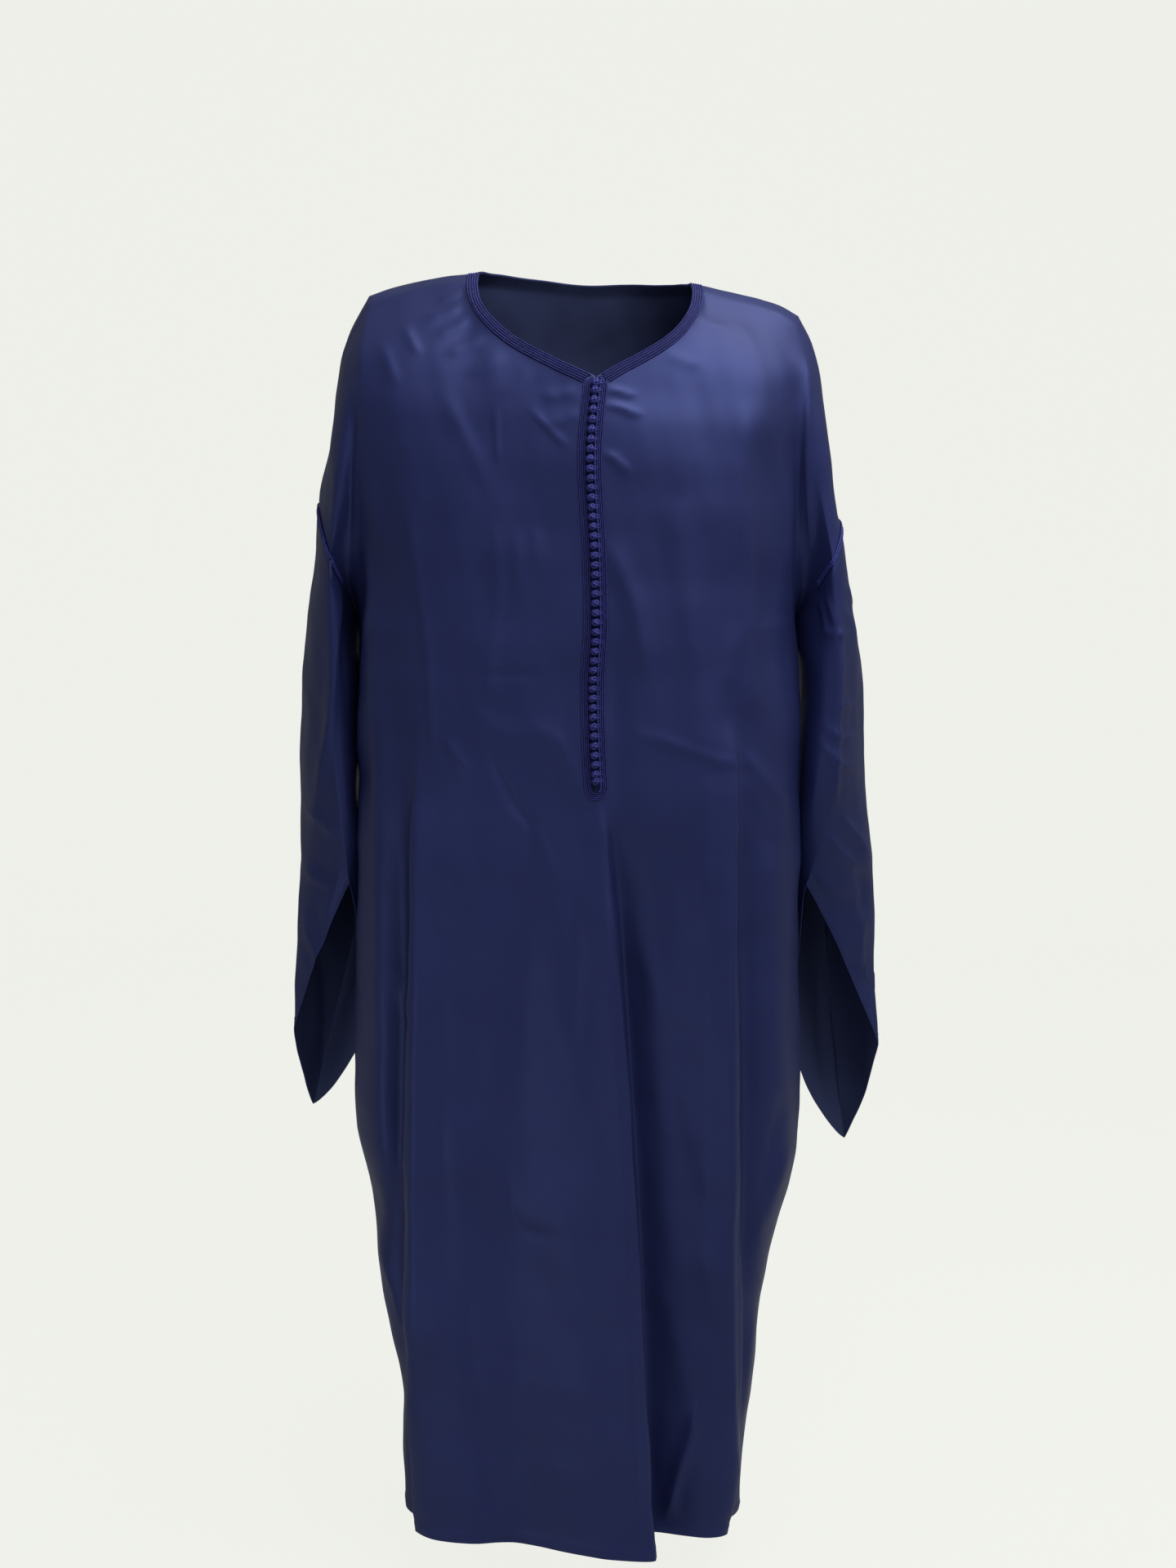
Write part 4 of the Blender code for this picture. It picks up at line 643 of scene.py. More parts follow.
def creaseLift(photo, table):
    # how far the creases of a table lift points that stand at photo in the picture
    total = np.zeros(len(photo))
    for points, height, leftWidth, rightWidth, sharpness in table:
        line = smoothCurve(points, 5)
        reach = creaseForm["reach"] * max(leftWidth, rightWidth) / creaseForm["pixel"]
        near = np.all((photo > line.min(axis=0) - reach) & (photo < line.max(axis=0) + reach), axis=1)
        spots = photo[near]
        arcs = arcLengths(line)
        best = np.full(len(spots), np.inf)
        place, away = np.zeros(len(spots)), np.zeros(len(spots))
        for k in range(len(line) - 1):
            along = line[k + 1] - line[k]
            length = np.linalg.norm(along)
            offset = spots - line[k]
            part = np.clip(offset @ along / length ** 2, 0.0, 1.0)
            gap = offset - part[:, None] * along
            distance = np.linalg.norm(gap, axis=1)
            closer = distance < best
            turned = along[1] * offset[:, 0] - along[0] * offset[:, 1]
            best = np.where(closer, distance, best)
            place = np.where(closer, arcs[k] + part * length, place)
            away = np.where(closer, np.sign(turned) * distance, away)
        ends = min(creaseForm["fadePart"] * arcs[-1], creaseForm["fadeMost"])
        envelope = ease(place / ends) * ease((arcs[-1] - place) / ends)
        if points[-1][1] > creaseForm["hemFrom"]:
            envelope = ease(place / ends)
        ratio = np.abs(away) * creaseForm["pixel"] / np.where(away < 0.0, leftWidth, rightWidth)
        sharp = np.exp(-creaseForm["sharpFall"] * ratio)
        profile = (1.0 - sharpness) * np.exp(-ratio ** 2) + sharpness * sharp
        total[near] += creaseForm["gain"] * height * envelope * profile
    return 0.001 * total


# length and height of the waves, how many of each, and their directions, flattened so that they hang
rippleForm = {"waves": [(0.16, 0.0012), (0.09, 0.0008), (0.05, 0.0004), (0.028, 0.00018)], "directions": 4,
              "stretch": (1.0, 1.0, 0.45)}


def ripple(points, seed):
    # faint unevenness of hanging cloth, from long to short waves
    total = np.zeros(len(points))
    random = np.random.default_rng(seed)
    for size, height in rippleForm["waves"]:
        for wave in range(rippleForm["directions"]):
            direction = random.normal(size=3) * np.array(rippleForm["stretch"])
            direction /= np.linalg.norm(direction)
            phase = random.uniform(0, 2 * math.pi)
            total += height / 2 * np.sin(points @ direction * 2 * math.pi / size + phase)
    return total


def gridNormals(points, closed=False):
    if closed:
        across = np.roll(points, -1, axis=1) - np.roll(points, 1, axis=1)
    else:
        across = np.gradient(points, axis=1)
    down = np.gradient(points, axis=0)
    normals = np.cross(down, across)
    length = np.linalg.norm(normals, axis=2, keepdims=True)
    return normals / np.maximum(length, 1e-12)


def seamFade(points, isPanel):
    # 0 on the sewn edges, 1 away from them
    reach = robe["seamReach"]
    across, down = runs(points, 1), runs(points, 0)
    if not isPanel:
        return np.clip(down / reach, 0.0, 1.0)
    fade = np.clip(np.minimum(across, across[:, -1:] - across) / reach, 0.0, 1.0)
    sewn = np.ones(points.shape[1], bool)
    sewn[side + shoulder:-side - shoulder] = False
    fade[:, sewn] *= np.clip(down / reach, 0.0, 1.0)[:, sewn]
    return ease(fade)


print("forming the panels")
front = panelPoints(frontRow, frontTopEdge(), robe["dropFront"], True)
back = panelPoints(backRow, backTopEdge(), robe["dropBack"], False)
ringPlaces = np.concatenate([np.linspace(0.0, 0.975, robe["sleeveRings"]), [0.979, 0.983, 0.992, 0.998, 1.0]])
sleeves = {which: np.array([sleeveRing(which, place) for place in ringPlaces]) for which in ("left", "right")}


def creased(points, table, seed, isPanel=True, half=None, flip=1.0):
    normals = gridNormals(points, closed=not isPanel) * flip
    for number in range(robe["normalPasses"] if isPanel else 0):
        normals[1:-1] = 0.25 * normals[:-2] + 0.5 * normals[1:-1] + 0.25 * normals[2:]
        normals[:, 1:-1] = 0.25 * normals[:, :-2] + 0.5 * normals[:, 1:-1] + 0.25 * normals[:, 2:]
    flat = points.reshape(-1, 3)
    lift = ripple(flat, seed)
    if half is None:
        lift += creaseLift(toPhoto(flat), list(table.values()))
    else:
        count = points.shape[1]
        around = np.tile(np.arange(count), points.shape[0])
        onFront = around <= count // 2
        photo = toPhoto(flat)
        for name, mask in (("front", onFront), ("back", ~onFront)):
            chosen = [row[1:] for row in table.values() if row[0] == name]
            lift[mask] += creaseLift(photo[mask], chosen)
    lift = lift.reshape(points.shape[:2]) * seamFade(points, isPanel)
    # the narrow turned hem, a little thicker than the cloth above it
    down = runs(points, 0)
    rise = down[-1:] - down
    lift += robe["hemLift"] * ease((robe["hemBand"] + 0.5 * robe["hemFold"] - rise) / robe["hemFold"])
    return points + normals * lift[:, :, None]


front = creased(front, frontCreases, 3)
back = creased(back, backCreases, 5)
sleeves["left"] = creased(sleeves["left"], sleeveCreases["left"], 7, False, True)
sleeves["right"] = creased(sleeves["right"], sleeveCreases["right"], 9, False, True, -1.0)


def quads(ids):
    a, b, c, d = ids[:-1, :-1], ids[1:, :-1], ids[1:, 1:], ids[:-1, 1:]
    return np.stack([a, b, c, d], axis=-1).reshape(-1, 4)


def clothObject(name, vertices, faces, uv, material):
    mesh = bpy.data.meshes.new(name)
    mesh.from_pydata(vertices.tolist(), [], faces.tolist())
    layer = mesh.uv_layers.new(name="cloth")
    corner = np.empty(len(mesh.loops), dtype=np.int32)
    mesh.loops.foreach_get("vertex_index", corner)
    layer.data.foreach_set("uv", uv[corner].astype(np.float32).ravel())
    mesh.shade_smooth()
    mesh.materials.append(material)
    piece = bpy.data.objects.new(name, mesh)
    collection.objects.link(piece)
    return piece


def gridUv(points, middle):
    across, down = runs(points, 1), runs(points, 0)
    across = across - across[:, middle:middle + 1]
    return np.stack([across, -down], axis=-1).reshape(-1, 2)


def asMesh(piece):
    # the evaluated mesh in place of the modifiers
    graph = bpy.context.evaluated_depsgraph_get()
    mesh = bpy.data.meshes.new_from_object(piece.evaluated_get(graph))
    piece.modifiers.clear()
    piece.data = mesh
    return piece


def shelled(piece, thickness):
    wall = piece.modifiers.new("shell", "SOLIDIFY")
    wall.thickness = thickness
    wall.offset = -1.0
    piece.data.materials.append(satinReverse)
    wall.material_offset = 1
    return asMesh(piece)


# materials

satinLook = {"deep": (0.0125, 0.0165, 0.066, 1.0), "light": (0.0185, 0.0245, 0.094, 1.0), "roughness": 0.46,
             "threads": 2100.0, "threadBump": 0.10, "gloss": 0.7, "glossTint": (0.30, 0.38, 1.0, 1.0)}
# the satin's dull reverse, seen inside the neck and the cuffs
reverseLook = {"deep": (0.034, 0.044, 0.110, 1.0), "light": (0.046, 0.060, 0.145, 1.0), "roughness": 0.75,
               "threads": 2100.0, "threadBump": 0.10, "gloss": 0.3, "glossTint": (0.50, 0.56, 1.0, 1.0)}
weaveLook = {"across": 0.2, "down": 0.3, "slubScale": 900.0, "slubDetail": 2.0, "slubStretch": (0.25, 1.0, 1.0),
             "slowScale": 9.0, "slowDetail": 3.0, "smoother": 0.04, "rougher": 0.06, "bumpDepth": 0.0002}
# the stitches' thread: its light strand tone is raised to stand partly as painted highlight on the cords
braidToneAndHighlight = {"deep": (0.016, 0.017, 0.100, 1.0), "light": (0.040, 0.043, 0.225, 1.0), "roughness": 0.42,
             "strands": 420.0}
knotLook = {"deep": (0.017, 0.018, 0.100, 1.0), "light": (0.040, 0.043, 0.215, 1.0), "roughness": 0.42,
            "strands": 380.0}
# painted shade: the near-black base under the braid's stitches, standing for the shade in its grooves and
# behind the balls
paintedGrooveShadeLook = {"deep": (0.003, 0.004, 0.016, 1.0), "light": (0.005, 0.006, 0.026, 1.0), "roughness": 0.8,
              "strands": 420.0}
strandLook = {"twist": 3.0, "detail": 2.0, "mottle": 240.0, "strandShare": 0.4, "strandBump": 0.4, "gloss": 0.6,
              "glossTint": (0.35, 0.40, 1.0, 1.0), "from": 0.4, "to": 0.9}


def fed(tree, node, values):
    # sets a node's inputs, or links those whose value is another node's output
    for key, value in values.items():
        if isinstance(value, bpy.types.NodeSocket):
            tree.links.new(value, node.inputs[key])
        else:
            node.inputs[key].default_value = value
    return node


def added(tree, kind, values=None, **settings):
    node = tree.nodes.new(kind)
    for name, value in settings.items():
        setattr(node, name, value)
    return fed(tree, node, values or {})


def sockets(tree, inputs, outputs):
    for way, named in (("INPUT", inputs), ("OUTPUT", outputs)):
        for name, kind in named.items():
            tree.interface.new_socket(name, in_out=way, socket_type="NodeSocket" + kind)
    return added(tree, "NodeGroupInput").outputs


def weaveGroup():
    # fine crosswise weave with slight slubs, and slow changes of tone; all from a UV map in metres
    tree = bpy.data.node_groups.new("satinWeave", "ShaderNodeTree")
    into = sockets(tree, {"UV": "Vector", "Place": "Vector", "Threads": "Float"},
                   {"Tone": "Float", "Height": "Float", "Gloss": "Float"})

    def worked(operation, a, b=0.0):
        return added(tree, "ShaderNodeMath", {0: a, 1: b}, operation=operation).outputs[0]

    axes = added(tree, "ShaderNodeSeparateXYZ", {0: into["UV"]}).outputs
    turns = worked("MULTIPLY", into["Threads"], math.pi)
    across, down = (worked("SINE", worked("MULTIPLY", axes[axis], turns)) for axis in "XY")
    stretched = added(tree, "ShaderNodeMapping", {
        "Vector": into["UV"], "Scale": weaveLook["slubStretch"]}).outputs[0]
    slub = added(tree, "ShaderNodeTexNoise", {
        "Vector": stretched, "Scale": weaveLook["slubScale"], "Detail": weaveLook["slubDetail"]}).outputs["Fac"]
    slow = added(tree, "ShaderNodeTexNoise", {
        "Vector": into["Place"], "Scale": weaveLook["slowScale"],
        "Detail": weaveLook["slowDetail"]}).outputs["Fac"]
    weave = worked("ADD", worked("MULTIPLY", across, weaveLook["across"]),
                   worked("MULTIPLY", down, weaveLook["down"]))
    height = worked("ADD", worked("ADD", weave, 0.5), slub)
    tone = worked("ADD", worked("MULTIPLY", slub, 0.5), worked("MULTIPLY", slow, 0.5))
    added(tree, "NodeGroupOutput", {"Tone": tone, "Height": height, "Gloss": slow})
    return tree


satinWeave = weaveGroup()


def newMaterial(name):
    material = bpy.data.materials.new(name)
    material.use_nodes = True
    return material, material.node_tree, material.node_tree.nodes["Principled BSDF"]


def ramped(tree, factor, look, low=0.3, high=0.7):
    ramp = added(tree, "ShaderNodeValToRGB", {0: factor})
    for element, place, colour in zip(ramp.color_ramp.elements, (low, high), (look["deep"], look["light"])):
        element.position = place
        element.color = colour
    return ramp.outputs[0]


def bumped(tree, height, strength):
    values = {"Height": height, "Strength": strength, "Distance": weaveLook["bumpDepth"]}
    return added(tree, "ShaderNodeBump", values).outputs[0]


def satinMaterial(name, look):
    material, tree, shader = newMaterial(name)
    weave = added(tree, "ShaderNodeGroup", {
        "UV": added(tree, "ShaderNodeUVMap", uv_map="cloth").outputs[0],
        "Place": added(tree, "ShaderNodeTexCoord").outputs["Object"], "Threads": look["threads"],
    }, node_tree=satinWeave).outputs
    roughness = added(tree, "ShaderNodeMapRange", {
        "Value": weave["Gloss"], "To Min": look["roughness"] - weaveLook["smoother"],
        "To Max": look["roughness"] + weaveLook["rougher"]}).outputs[0]
    fed(tree, shader, {
        "Base Color": ramped(tree, weave["Tone"], look), "Roughness": roughness,
        "Normal": bumped(tree, weave["Height"], look["threadBump"]),
        "Specular IOR Level": look["gloss"], "Specular Tint": look["glossTint"],
    })
    return material


def strandedMaterial(name, look):
    # fine slanted strands and a slow change of tone between a look's two colours: thread for the knots, thread
    # partly lightened as painted highlight for the stitches and cords, painted shade for the braid's grooves
    material, tree, shader = newMaterial(name)
    place = added(tree, "ShaderNodeTexCoord").outputs["Object"]
    strands = added(tree, "ShaderNodeTexWave", {
        "Vector": place, "Scale": look["strands"], "Distortion": strandLook["twist"],
        "Detail": strandLook["detail"]}, bands_direction="DIAGONAL").outputs["Fac"]
    mottle = added(tree, "ShaderNodeTexNoise", {"Vector": place, "Scale": strandLook["mottle"]}).outputs["Fac"]
    tone = added(tree, "ShaderNodeMath", {0: strands, 1: strandLook["strandShare"], 2: mottle},
                 operation="MULTIPLY_ADD").outputs[0]
    fed(tree, shader, {
        "Base Color": ramped(tree, tone, look, strandLook["from"], strandLook["to"]),
        "Normal": bumped(tree, strands, strandLook["strandBump"]), "Roughness": look["roughness"],
        "Specular IOR Level": strandLook["gloss"], "Specular Tint": strandLook["glossTint"],
    })
    return material


satin = satinMaterial("satin", satinLook)
satinReverse = satinMaterial("satinReverse", reverseLook)
braidThreadAndHighlight = strandedMaterial("braidThreadAndHighlight", braidToneAndHighlight)
knotThread = strandedMaterial("knotThread", knotLook)
# painted shade for the braid's grooves
paintedGrooveShade = strandedMaterial("paintedGrooveShade", paintedGrooveShadeLook)

# the four cloth pieces

print("sewing the cloth")


def gridIds(points):
    return np.arange(points.shape[0] * points.shape[1]).reshape(points.shape[:2])


def slitFront():
    # the front's points, faces and UV map, with the column down the slit doubled
    ids, slitRows = gridIds(front), robe["topRows"] + robe["slitRows"]
    leftEdge = ids[:slitRows, middleColumn]
    points, uv = front.reshape(-1, 3).copy(), gridUv(front, middleColumn)
    rightEdge = points[leftEdge]
    points[leftEdge, 0] -= 0.5 * robe["slitWidth"]
    rightEdge[:, 0] += 0.5 * robe["slitWidth"]
    rightIds = ids[:, middleColumn:].copy()
    rightIds[:slitRows, 0] = len(points) + np.arange(slitRows)
    faces = np.vstack([quads(ids[:, :middleColumn + 1]), quads(rightIds)])
    return np.vstack([points, rightEdge]), faces, np.vstack([uv, uv[leftEdge]])


def tubeFaces(points, reverse):
    ids = gridIds(points)
    around = np.column_stack([ids, ids[:, :1]])
    return quads(around[:, ::-1] if reverse else around)


# name, points, faces, UV map
clothForms = {
    "front_panel": ("frontPanel", *slitFront()),
    "back_panel": ("backPanel", back.reshape(-1, 3), quads(gridIds(back)), gridUv(back, back.shape[1] // 2)),
}
for which, points in sleeves.items():
    clothForms["sleeve_" + which] = ("sleeve" + which.capitalize(), points.reshape(-1, 3),
                                     tubeFaces(points, which == "right"), gridUv(points, 0))
clothPieces = {node: shelled(clothObject(*form, satin), robe["shell"]) for node, form in clothForms.items()}


# one search tree over the outside of all the cloth, for what is sewn on it
treePoints, treeFaces = [], []
for name, points, faces, uv in clothForms.values():
    treeFaces += (faces + len(treePoints)).tolist()
    treePoints += points.tolist()
clothTree = BVHTree.FromPolygons(treePoints, treeFaces)

# rows of stitches, cords and knots: Geometry Nodes that place a shape along lines or on points


def rowTree(name, followsLines):
    # each shape is turned to the attributes outward, along and lean, or along its line
    tree = bpy.data.node_groups.new(name, "GeometryNodeTree")
    into = sockets(tree, {"Geometry": "Geometry", "Shape": "Object", "Pitch": "Float", "Size": "Vector",
                          "Material": "Material"}, {"Geometry": "Geometry"})

    def attribute(label, kind):
        node = added(tree, "GeometryNodeInputNamedAttribute", {"Name": label}, data_type=kind)
        return node.outputs["Attribute"]

    path = into["Geometry"]
    if followsLines:
        curve = added(tree, "GeometryNodeMeshToCurve", {"Mesh": path}).outputs[0]
        path = added(tree, "GeometryNodeResampleCurve", {"Curve": curve, "Length": into["Pitch"]},
                     mode="LENGTH").outputs[0]
        ahead = added(tree, "GeometryNodeInputTangent").outputs[0]
    else:
        ahead = attribute("along", "FLOAT_VECTOR")
    turn = added(tree, "FunctionNodeAlignRotationToVector", {"Vector": attribute("outward", "FLOAT_VECTOR")},
                 axis="Z").outputs[0]
    turn = added(tree, "FunctionNodeAlignRotationToVector", {"Rotation": turn, "Vector": ahead},
                 axis="Y", pivot_axis="Z").outputs[0]
    lean = added(tree, "FunctionNodeAxisAngleToRotation", {
        "Axis": (0.0, 0.0, 1.0), "Angle": attribute("lean", "FLOAT")}).outputs[0]
    turn = added(tree, "FunctionNodeRotateRotation", {"Rotation": turn, "Rotate By": lean},
                 rotation_space="LOCAL").outputs[0]
    shape = added(tree, "GeometryNodeObjectInfo", {"Object": into["Shape"]}).outputs["Geometry"]
    shapes = added(tree, "GeometryNodeInstanceOnPoints", {
        "Points": path, "Instance": shape, "Rotation": turn, "Scale": into["Size"]}).outputs[0]
    real = added(tree, "GeometryNodeRealizeInstances", {0: shapes}).outputs[0]
    dressed = added(tree, "GeometryNodeSetMaterial", {"Geometry": real, "Material": into["Material"]})
    added(tree, "NodeGroupOutput", {"Geometry": dressed.outputs[0]})
    return tree


lineTree = rowTree("stitchesAlongLines", True)
pointTree = rowTree("shapesOnPoints", False)


def shapeObject(name, work):
    mesh = bpy.data.meshes.new(name)
    bmesh.ops.recalc_face_normals(work, faces=work.faces)
    work.to_mesh(mesh)
    work.free()
    mesh.shade_smooth()
    return bpy.data.objects.new(name, mesh)


def beadShape():
    # a plump stitch, one unit long and wide
    work = bmesh.new()
    bmesh.ops.create_uvsphere(work, u_segments=6, v_segments=4, radius=0.5)
    return shapeObject("bead", work)


def tubeShape(name, path, radius, closed, sides=6):
    # a cord swept along a path
    work = bmesh.new()
    path = np.array(path)
    count = len(path)
    rings = []
    for k in range(count):
        ahead = path[(k + 1) % count] if closed or k < count - 1 else path[k]
        behind = path[k - 1] if closed or k > 0 else path[k]
        along = (ahead - behind) / np.linalg.norm(ahead - behind)
        outward = path[k] / np.linalg.norm(path[k]) if closed else np.array([0.31, 0.17, 0.93])
        across = np.cross(along, outward)
        across /= np.linalg.norm(across)
        outward = np.cross(across, along)
        rings.append([work.verts.new(path[k] + radius * (math.cos(a) * across + math.sin(a) * outward))
                      for a in np.arange(sides) * 2 * math.pi / sides])
    for k in range(count if closed else count - 1):
        here, ahead = rings[k], rings[(k + 1) % count]
        for m in range(sides):
            work.faces.new((here[m], here[(m + 1) % sides], ahead[(m + 1) % sides], ahead[m]))
    if not closed:
        work.faces.new(rings[0][::-1])
        work.faces.new(rings[-1])
    return shapeObject(name, work)


def dressIn(piece, material):
    # one material over the whole piece
    piece.data.materials.clear()
    piece.data.materials.append(material)
    piece.data.polygons.foreach_set("material_index", np.zeros(len(piece.data.polygons), dtype=np.int32))


def placed(name, tree, vertices, edges, attributes, settings):
    # runs a tree on lines or points, and keeps the result as a plain mesh
    mesh = bpy.data.meshes.new(name)
    mesh.from_pydata(np.asarray(vertices).tolist(), edges, [])
    for key, values in attributes.items():
        values = np.asarray(values, dtype=np.float32)
        kind, field = ("FLOAT_VECTOR", "vector") if values.ndim == 2 else ("FLOAT", "value")
        mesh.attributes.new(key, kind, "POINT").data.foreach_set(field, values.ravel())
    piece = bpy.data.objects.new(name, mesh)
    collection.objects.link(piece)
    modifier = piece.modifiers.new("rows", "NODES")
    modifier.node_group = tree
    for item in tree.interface.items_tree:
        if item.in_out == "INPUT" and item.name in settings:
            modifier[item.identifier] = settings[item.name]
    asMesh(piece)
    piece.data.shade_smooth()
    dressIn(piece, settings["Material"])
    return piece


def joinedInto(piece, other):
    # the other piece's mesh, with its one material, becomes part of this one's
    material = other.data.materials[0]
    if material.name not in piece.data.materials:
        piece.data.materials.append(material)
    work = bmesh.new()
    work.from_mesh(piece.data)
    start = len(work.faces)
    work.from_mesh(other.data)
    work.faces.ensure_lookup_table()
    for face in work.faces[start:]:
        face.material_index = piece.data.materials.find(material.name)
    bpy.data.objects.remove(other)
    work.to_mesh(piece.data)
    work.free()
    return piece


bead = beadShape()


def stitchRows(name, lines, leans, form):
    # rows of stitches along lines, each line its points and normals, and each with its own lean
    vertices, edges, outward, lean = [], [], [], []
    for (points, normals), angle in zip(lines, leans):
        start = len(vertices)
        vertices += (points + form["height"] * normals).tolist()
        outward += normals.tolist()
        lean += [angle] * len(points)
        edges += [(k, k + 1) for k in range(start, len(vertices) - 1)]
    # the thread's colour carries a painted highlight on its strands
    settings = {"Shape": bead, "Pitch": form["pitch"], "Size": form["stitch"], "Material": braidThreadAndHighlight}
    return placed(name, lineTree, vertices, edges, {"outward": outward, "lean": lean}, settings)


def evened(rows, passes):
    for number in range(passes):
        padded = np.vstack([rows[:1], rows, rows[-1:]])
        rows = 0.25 * padded[:-2] + 0.5 * rows + 0.25 * padded[2:]
    return rows


def evenedHits(hits, passes):
    points, normals = (evened(np.array([tuple(hit[k]) for hit in hits]), passes) for k in (0, 1))
    return points, normals / np.linalg.norm(normals, axis=1)[:, None]


def onCloth(spots, passes):
    # the nearest points of the cloth, and its outward direction there
    return evenedHits([clothTree.find_nearest(tuple(spot)) for spot in spots], passes)


def fromFront(spots, passes=2):
    # points (x, z) thrown on the cloth from the front
    return evenedHits([clothTree.ray_cast((x, -1.0, z), (0.0, 1.0, 0.0)) for x, z in spots], passes)


def slitCentre(z):
    return slitX(z) if z > robe["armpitZ"] else fromTable(robe["guides"], z)[1]


# braid: neck and slit, rows of slanted stitches over a flat base in painted shade, which on the slit reaches in
# behind the balls
braid = {"width": robe["braidWidth"], "slitInner": 0.0048, "base": 0.0005, "lift": 0.0004, "height": 0.0009,
         "pitch": 0.00135, "stitch": (0.00130, 0.0021, 0.0014), "lean": math.radians(32),
         "neckRows": (0.0013, 0.0040, 0.0067, 0.0094, 0.0121), "neckBase": 0.0004, "neckBaseLines": 6,
         "slitRows": (0.0059, 0.0081, 0.0103, 0.0125), "slitBase": 0.0010, "slitBaseLines": 7, "uDepth": 0.0145,
         "shy": 0.0015, "neckSteps": 260, "endSteps": 60, "slitSteps": 120, "turnSteps": 25, "baseSteps": 200}
twist = {"at": 0.0052, "height": 0.0015, "pitch": 0.0021, "stitch": (0.0019, 0.0036, 0.0022),
         "lean": math.radians(-48), "start": 6}

print("laying the braid")


def neckEdge():
    first = side + shoulder
    leftFront = front[0][first:middleColumn + 1][::-1]
    whole = back[0][first:-first][::-1]
    rightFront = front[0][middleColumn:-first][::-1]
    return evenly(np.vstack([leftFront, whole[1:], rightFront[1:]]), braid["neckSteps"])


def neckInwards():
    # from the neck's edge square to it, along the cloth
    normals = onCloth(neckRim, 6)[1]
    inwards = np.cross(normals, np.gradient(neckRim, axis=0))
    return evened(inwards / np.linalg.norm(inwards, axis=1)[:, None], 6)


neckRim = neckEdge()
inwards = neckInwards()


def neckLine(offset):
    points, normals = onCloth(neckRim + offset * inwards, 4)
    limit = braid["slitInner"] + (braid["width"] - braid["slitInner"]) * offset / braid["width"]
    keep, end = np.ones(len(points), bool), braid["endSteps"]
    keep[:end] = points[:end, 0] < slitX(points[:end, 2]) - limit
    keep[-end:] = points[-end:, 0] > slitX(points[-end:, 2]) + limit
    return points[keep], normals[keep]


def slitLineAt(offset):
    # down the left side, round below and up the right side
    limit = (offset - braid["slitInner"]) / (braid["width"] - braid["slitInner"]) * braid["width"]
    start = neckLine(min(max(limit, 0.0), braid["width"]))[0]
    leftTop, rightTop = start[0][2] - braid["shy"], start[-1][2] - braid["shy"]
    endZ, depth = robe["slitEndZ"], braid["uDepth"] - (braid["width"] - offset)
    bottomX = slitCentre(endZ)
    turns = np.linspace(0.0, math.pi, braid["turnSteps"])[1:-1]
    spots = [(slitCentre(z) - offset, z) for z in np.linspace(leftTop, endZ, braid["slitSteps"])]
    spots += [(bottomX - offset * math.cos(a), endZ - depth * math.sin(a)) for a in turns]
    spots += [(slitCentre(z) + offset, z) for z in np.linspace(endZ, rightTop, braid["slitSteps"])]
    return fromFront(spots)


def stitchedBraid(name, lineAt, offsets, baseOffsets):
    # rows that lean to and fro, over a flat base in painted shade: near black, for the shade in the grooves
    # between the rows
    leans = [braid["lean"] * (-1) ** k for k in range(len(offsets))]
    stitches = stitchRows(name, [lineAt(offset) for offset in offsets], leans, braid)
    baseLines = [lineAt(offset) for offset in baseOffsets]
    grid = [evenly(points + braid["lift"] * normals, braid["baseSteps"]) for points, normals in baseLines]
    grid = np.stack(grid, axis=1)
    # the base, in painted shade
    ribbon = clothObject(name + "Base", grid.reshape(-1, 3), quads(gridIds(grid)), gridUv(grid, 0),
                         paintedGrooveShade)
    wall = ribbon.modifiers.new("shell", "SOLIDIFY")
    wall.thickness = braid["base"]
    wall.offset = 0.0
    return joinedInto(stitches, asMesh(ribbon))


neckBraid = stitchedBraid("neckBraid", neckLine, braid["neckRows"],
                          np.linspace(braid["neckBase"], braid["width"], braid["neckBaseLines"]))
slitBraid = stitchedBraid("slitBraid", slitLineAt, braid["slitRows"],
                          np.linspace(braid["slitBase"], braid["width"], braid["slitBaseLines"]))

# twisted cord between the braid on the right and the balls
cordPoints, cordNormals = slitLineAt(twist["at"])
upwards = slice(len(cordPoints) // 2 + twist["start"], None)
cordLine = (cordPoints[upwards], cordNormals[upwards])
joinedInto(slitBraid, stitchRows("twistedCord", [cordLine], [twist["lean"]], twist))

# knotted balls with their loops, in one row on the slit
knots = {"count": 43, "first": -0.1055, "last": -0.5440, "radius": 0.0043, "strand": 0.00120, "loop": 0.0008,
         "lift": 0.0004, "size": (1.16, 1.04, 1.0), "between": 0.004, "turns": 3, "waves": 4,
         "steps": 84, "tilt": math.radians(52), "bulge": 0.10, "unevenLean": 0.08, "loopLean": 0.3,
         "leanAt": [0, 6, 12, 26, 42], "lean": [0.75, 0.55, 0.12, 0.05, 0.40]}
# the loop's ends on the braid: how far right, apart and down; its arc: part of the ball's size, angles, height
loop = {"end": (0.0075, 0.0012, -0.0034), "reach": (0.9975, 0.84), "from": math.radians(-70),
        "to": math.radians(250), "steps": 15, "down": -0.0027}


def knotPath():
    t = np.arange(knots["steps"]) / knots["steps"] * 2 * math.pi
    around, tilt = knots["turns"] * t, knots["tilt"] * np.sin(knots["waves"] * t)
    radius = (knots["radius"] - knots["strand"]) * (1.0 + knots["bulge"] * np.sin(2 * knots["waves"] * t))
    level = radius * np.cos(tilt)
    return np.column_stack([radius * np.sin(tilt), level * np.cos(around), level * np.sin(around)])


def loopPath():
    # from the braid on the right round under the ball and back
    right, apart, down = loop["end"]
    across, along = (knots["radius"] * reach for reach in loop["reach"])
    arc = [(-across * math.sin(a), along * math.cos(a), loop["down"])
           for a in np.linspace(loop["from"], loop["to"], loop["steps"])]
    return [(right, apart, down)] + arc + [(right, -apart, down)]


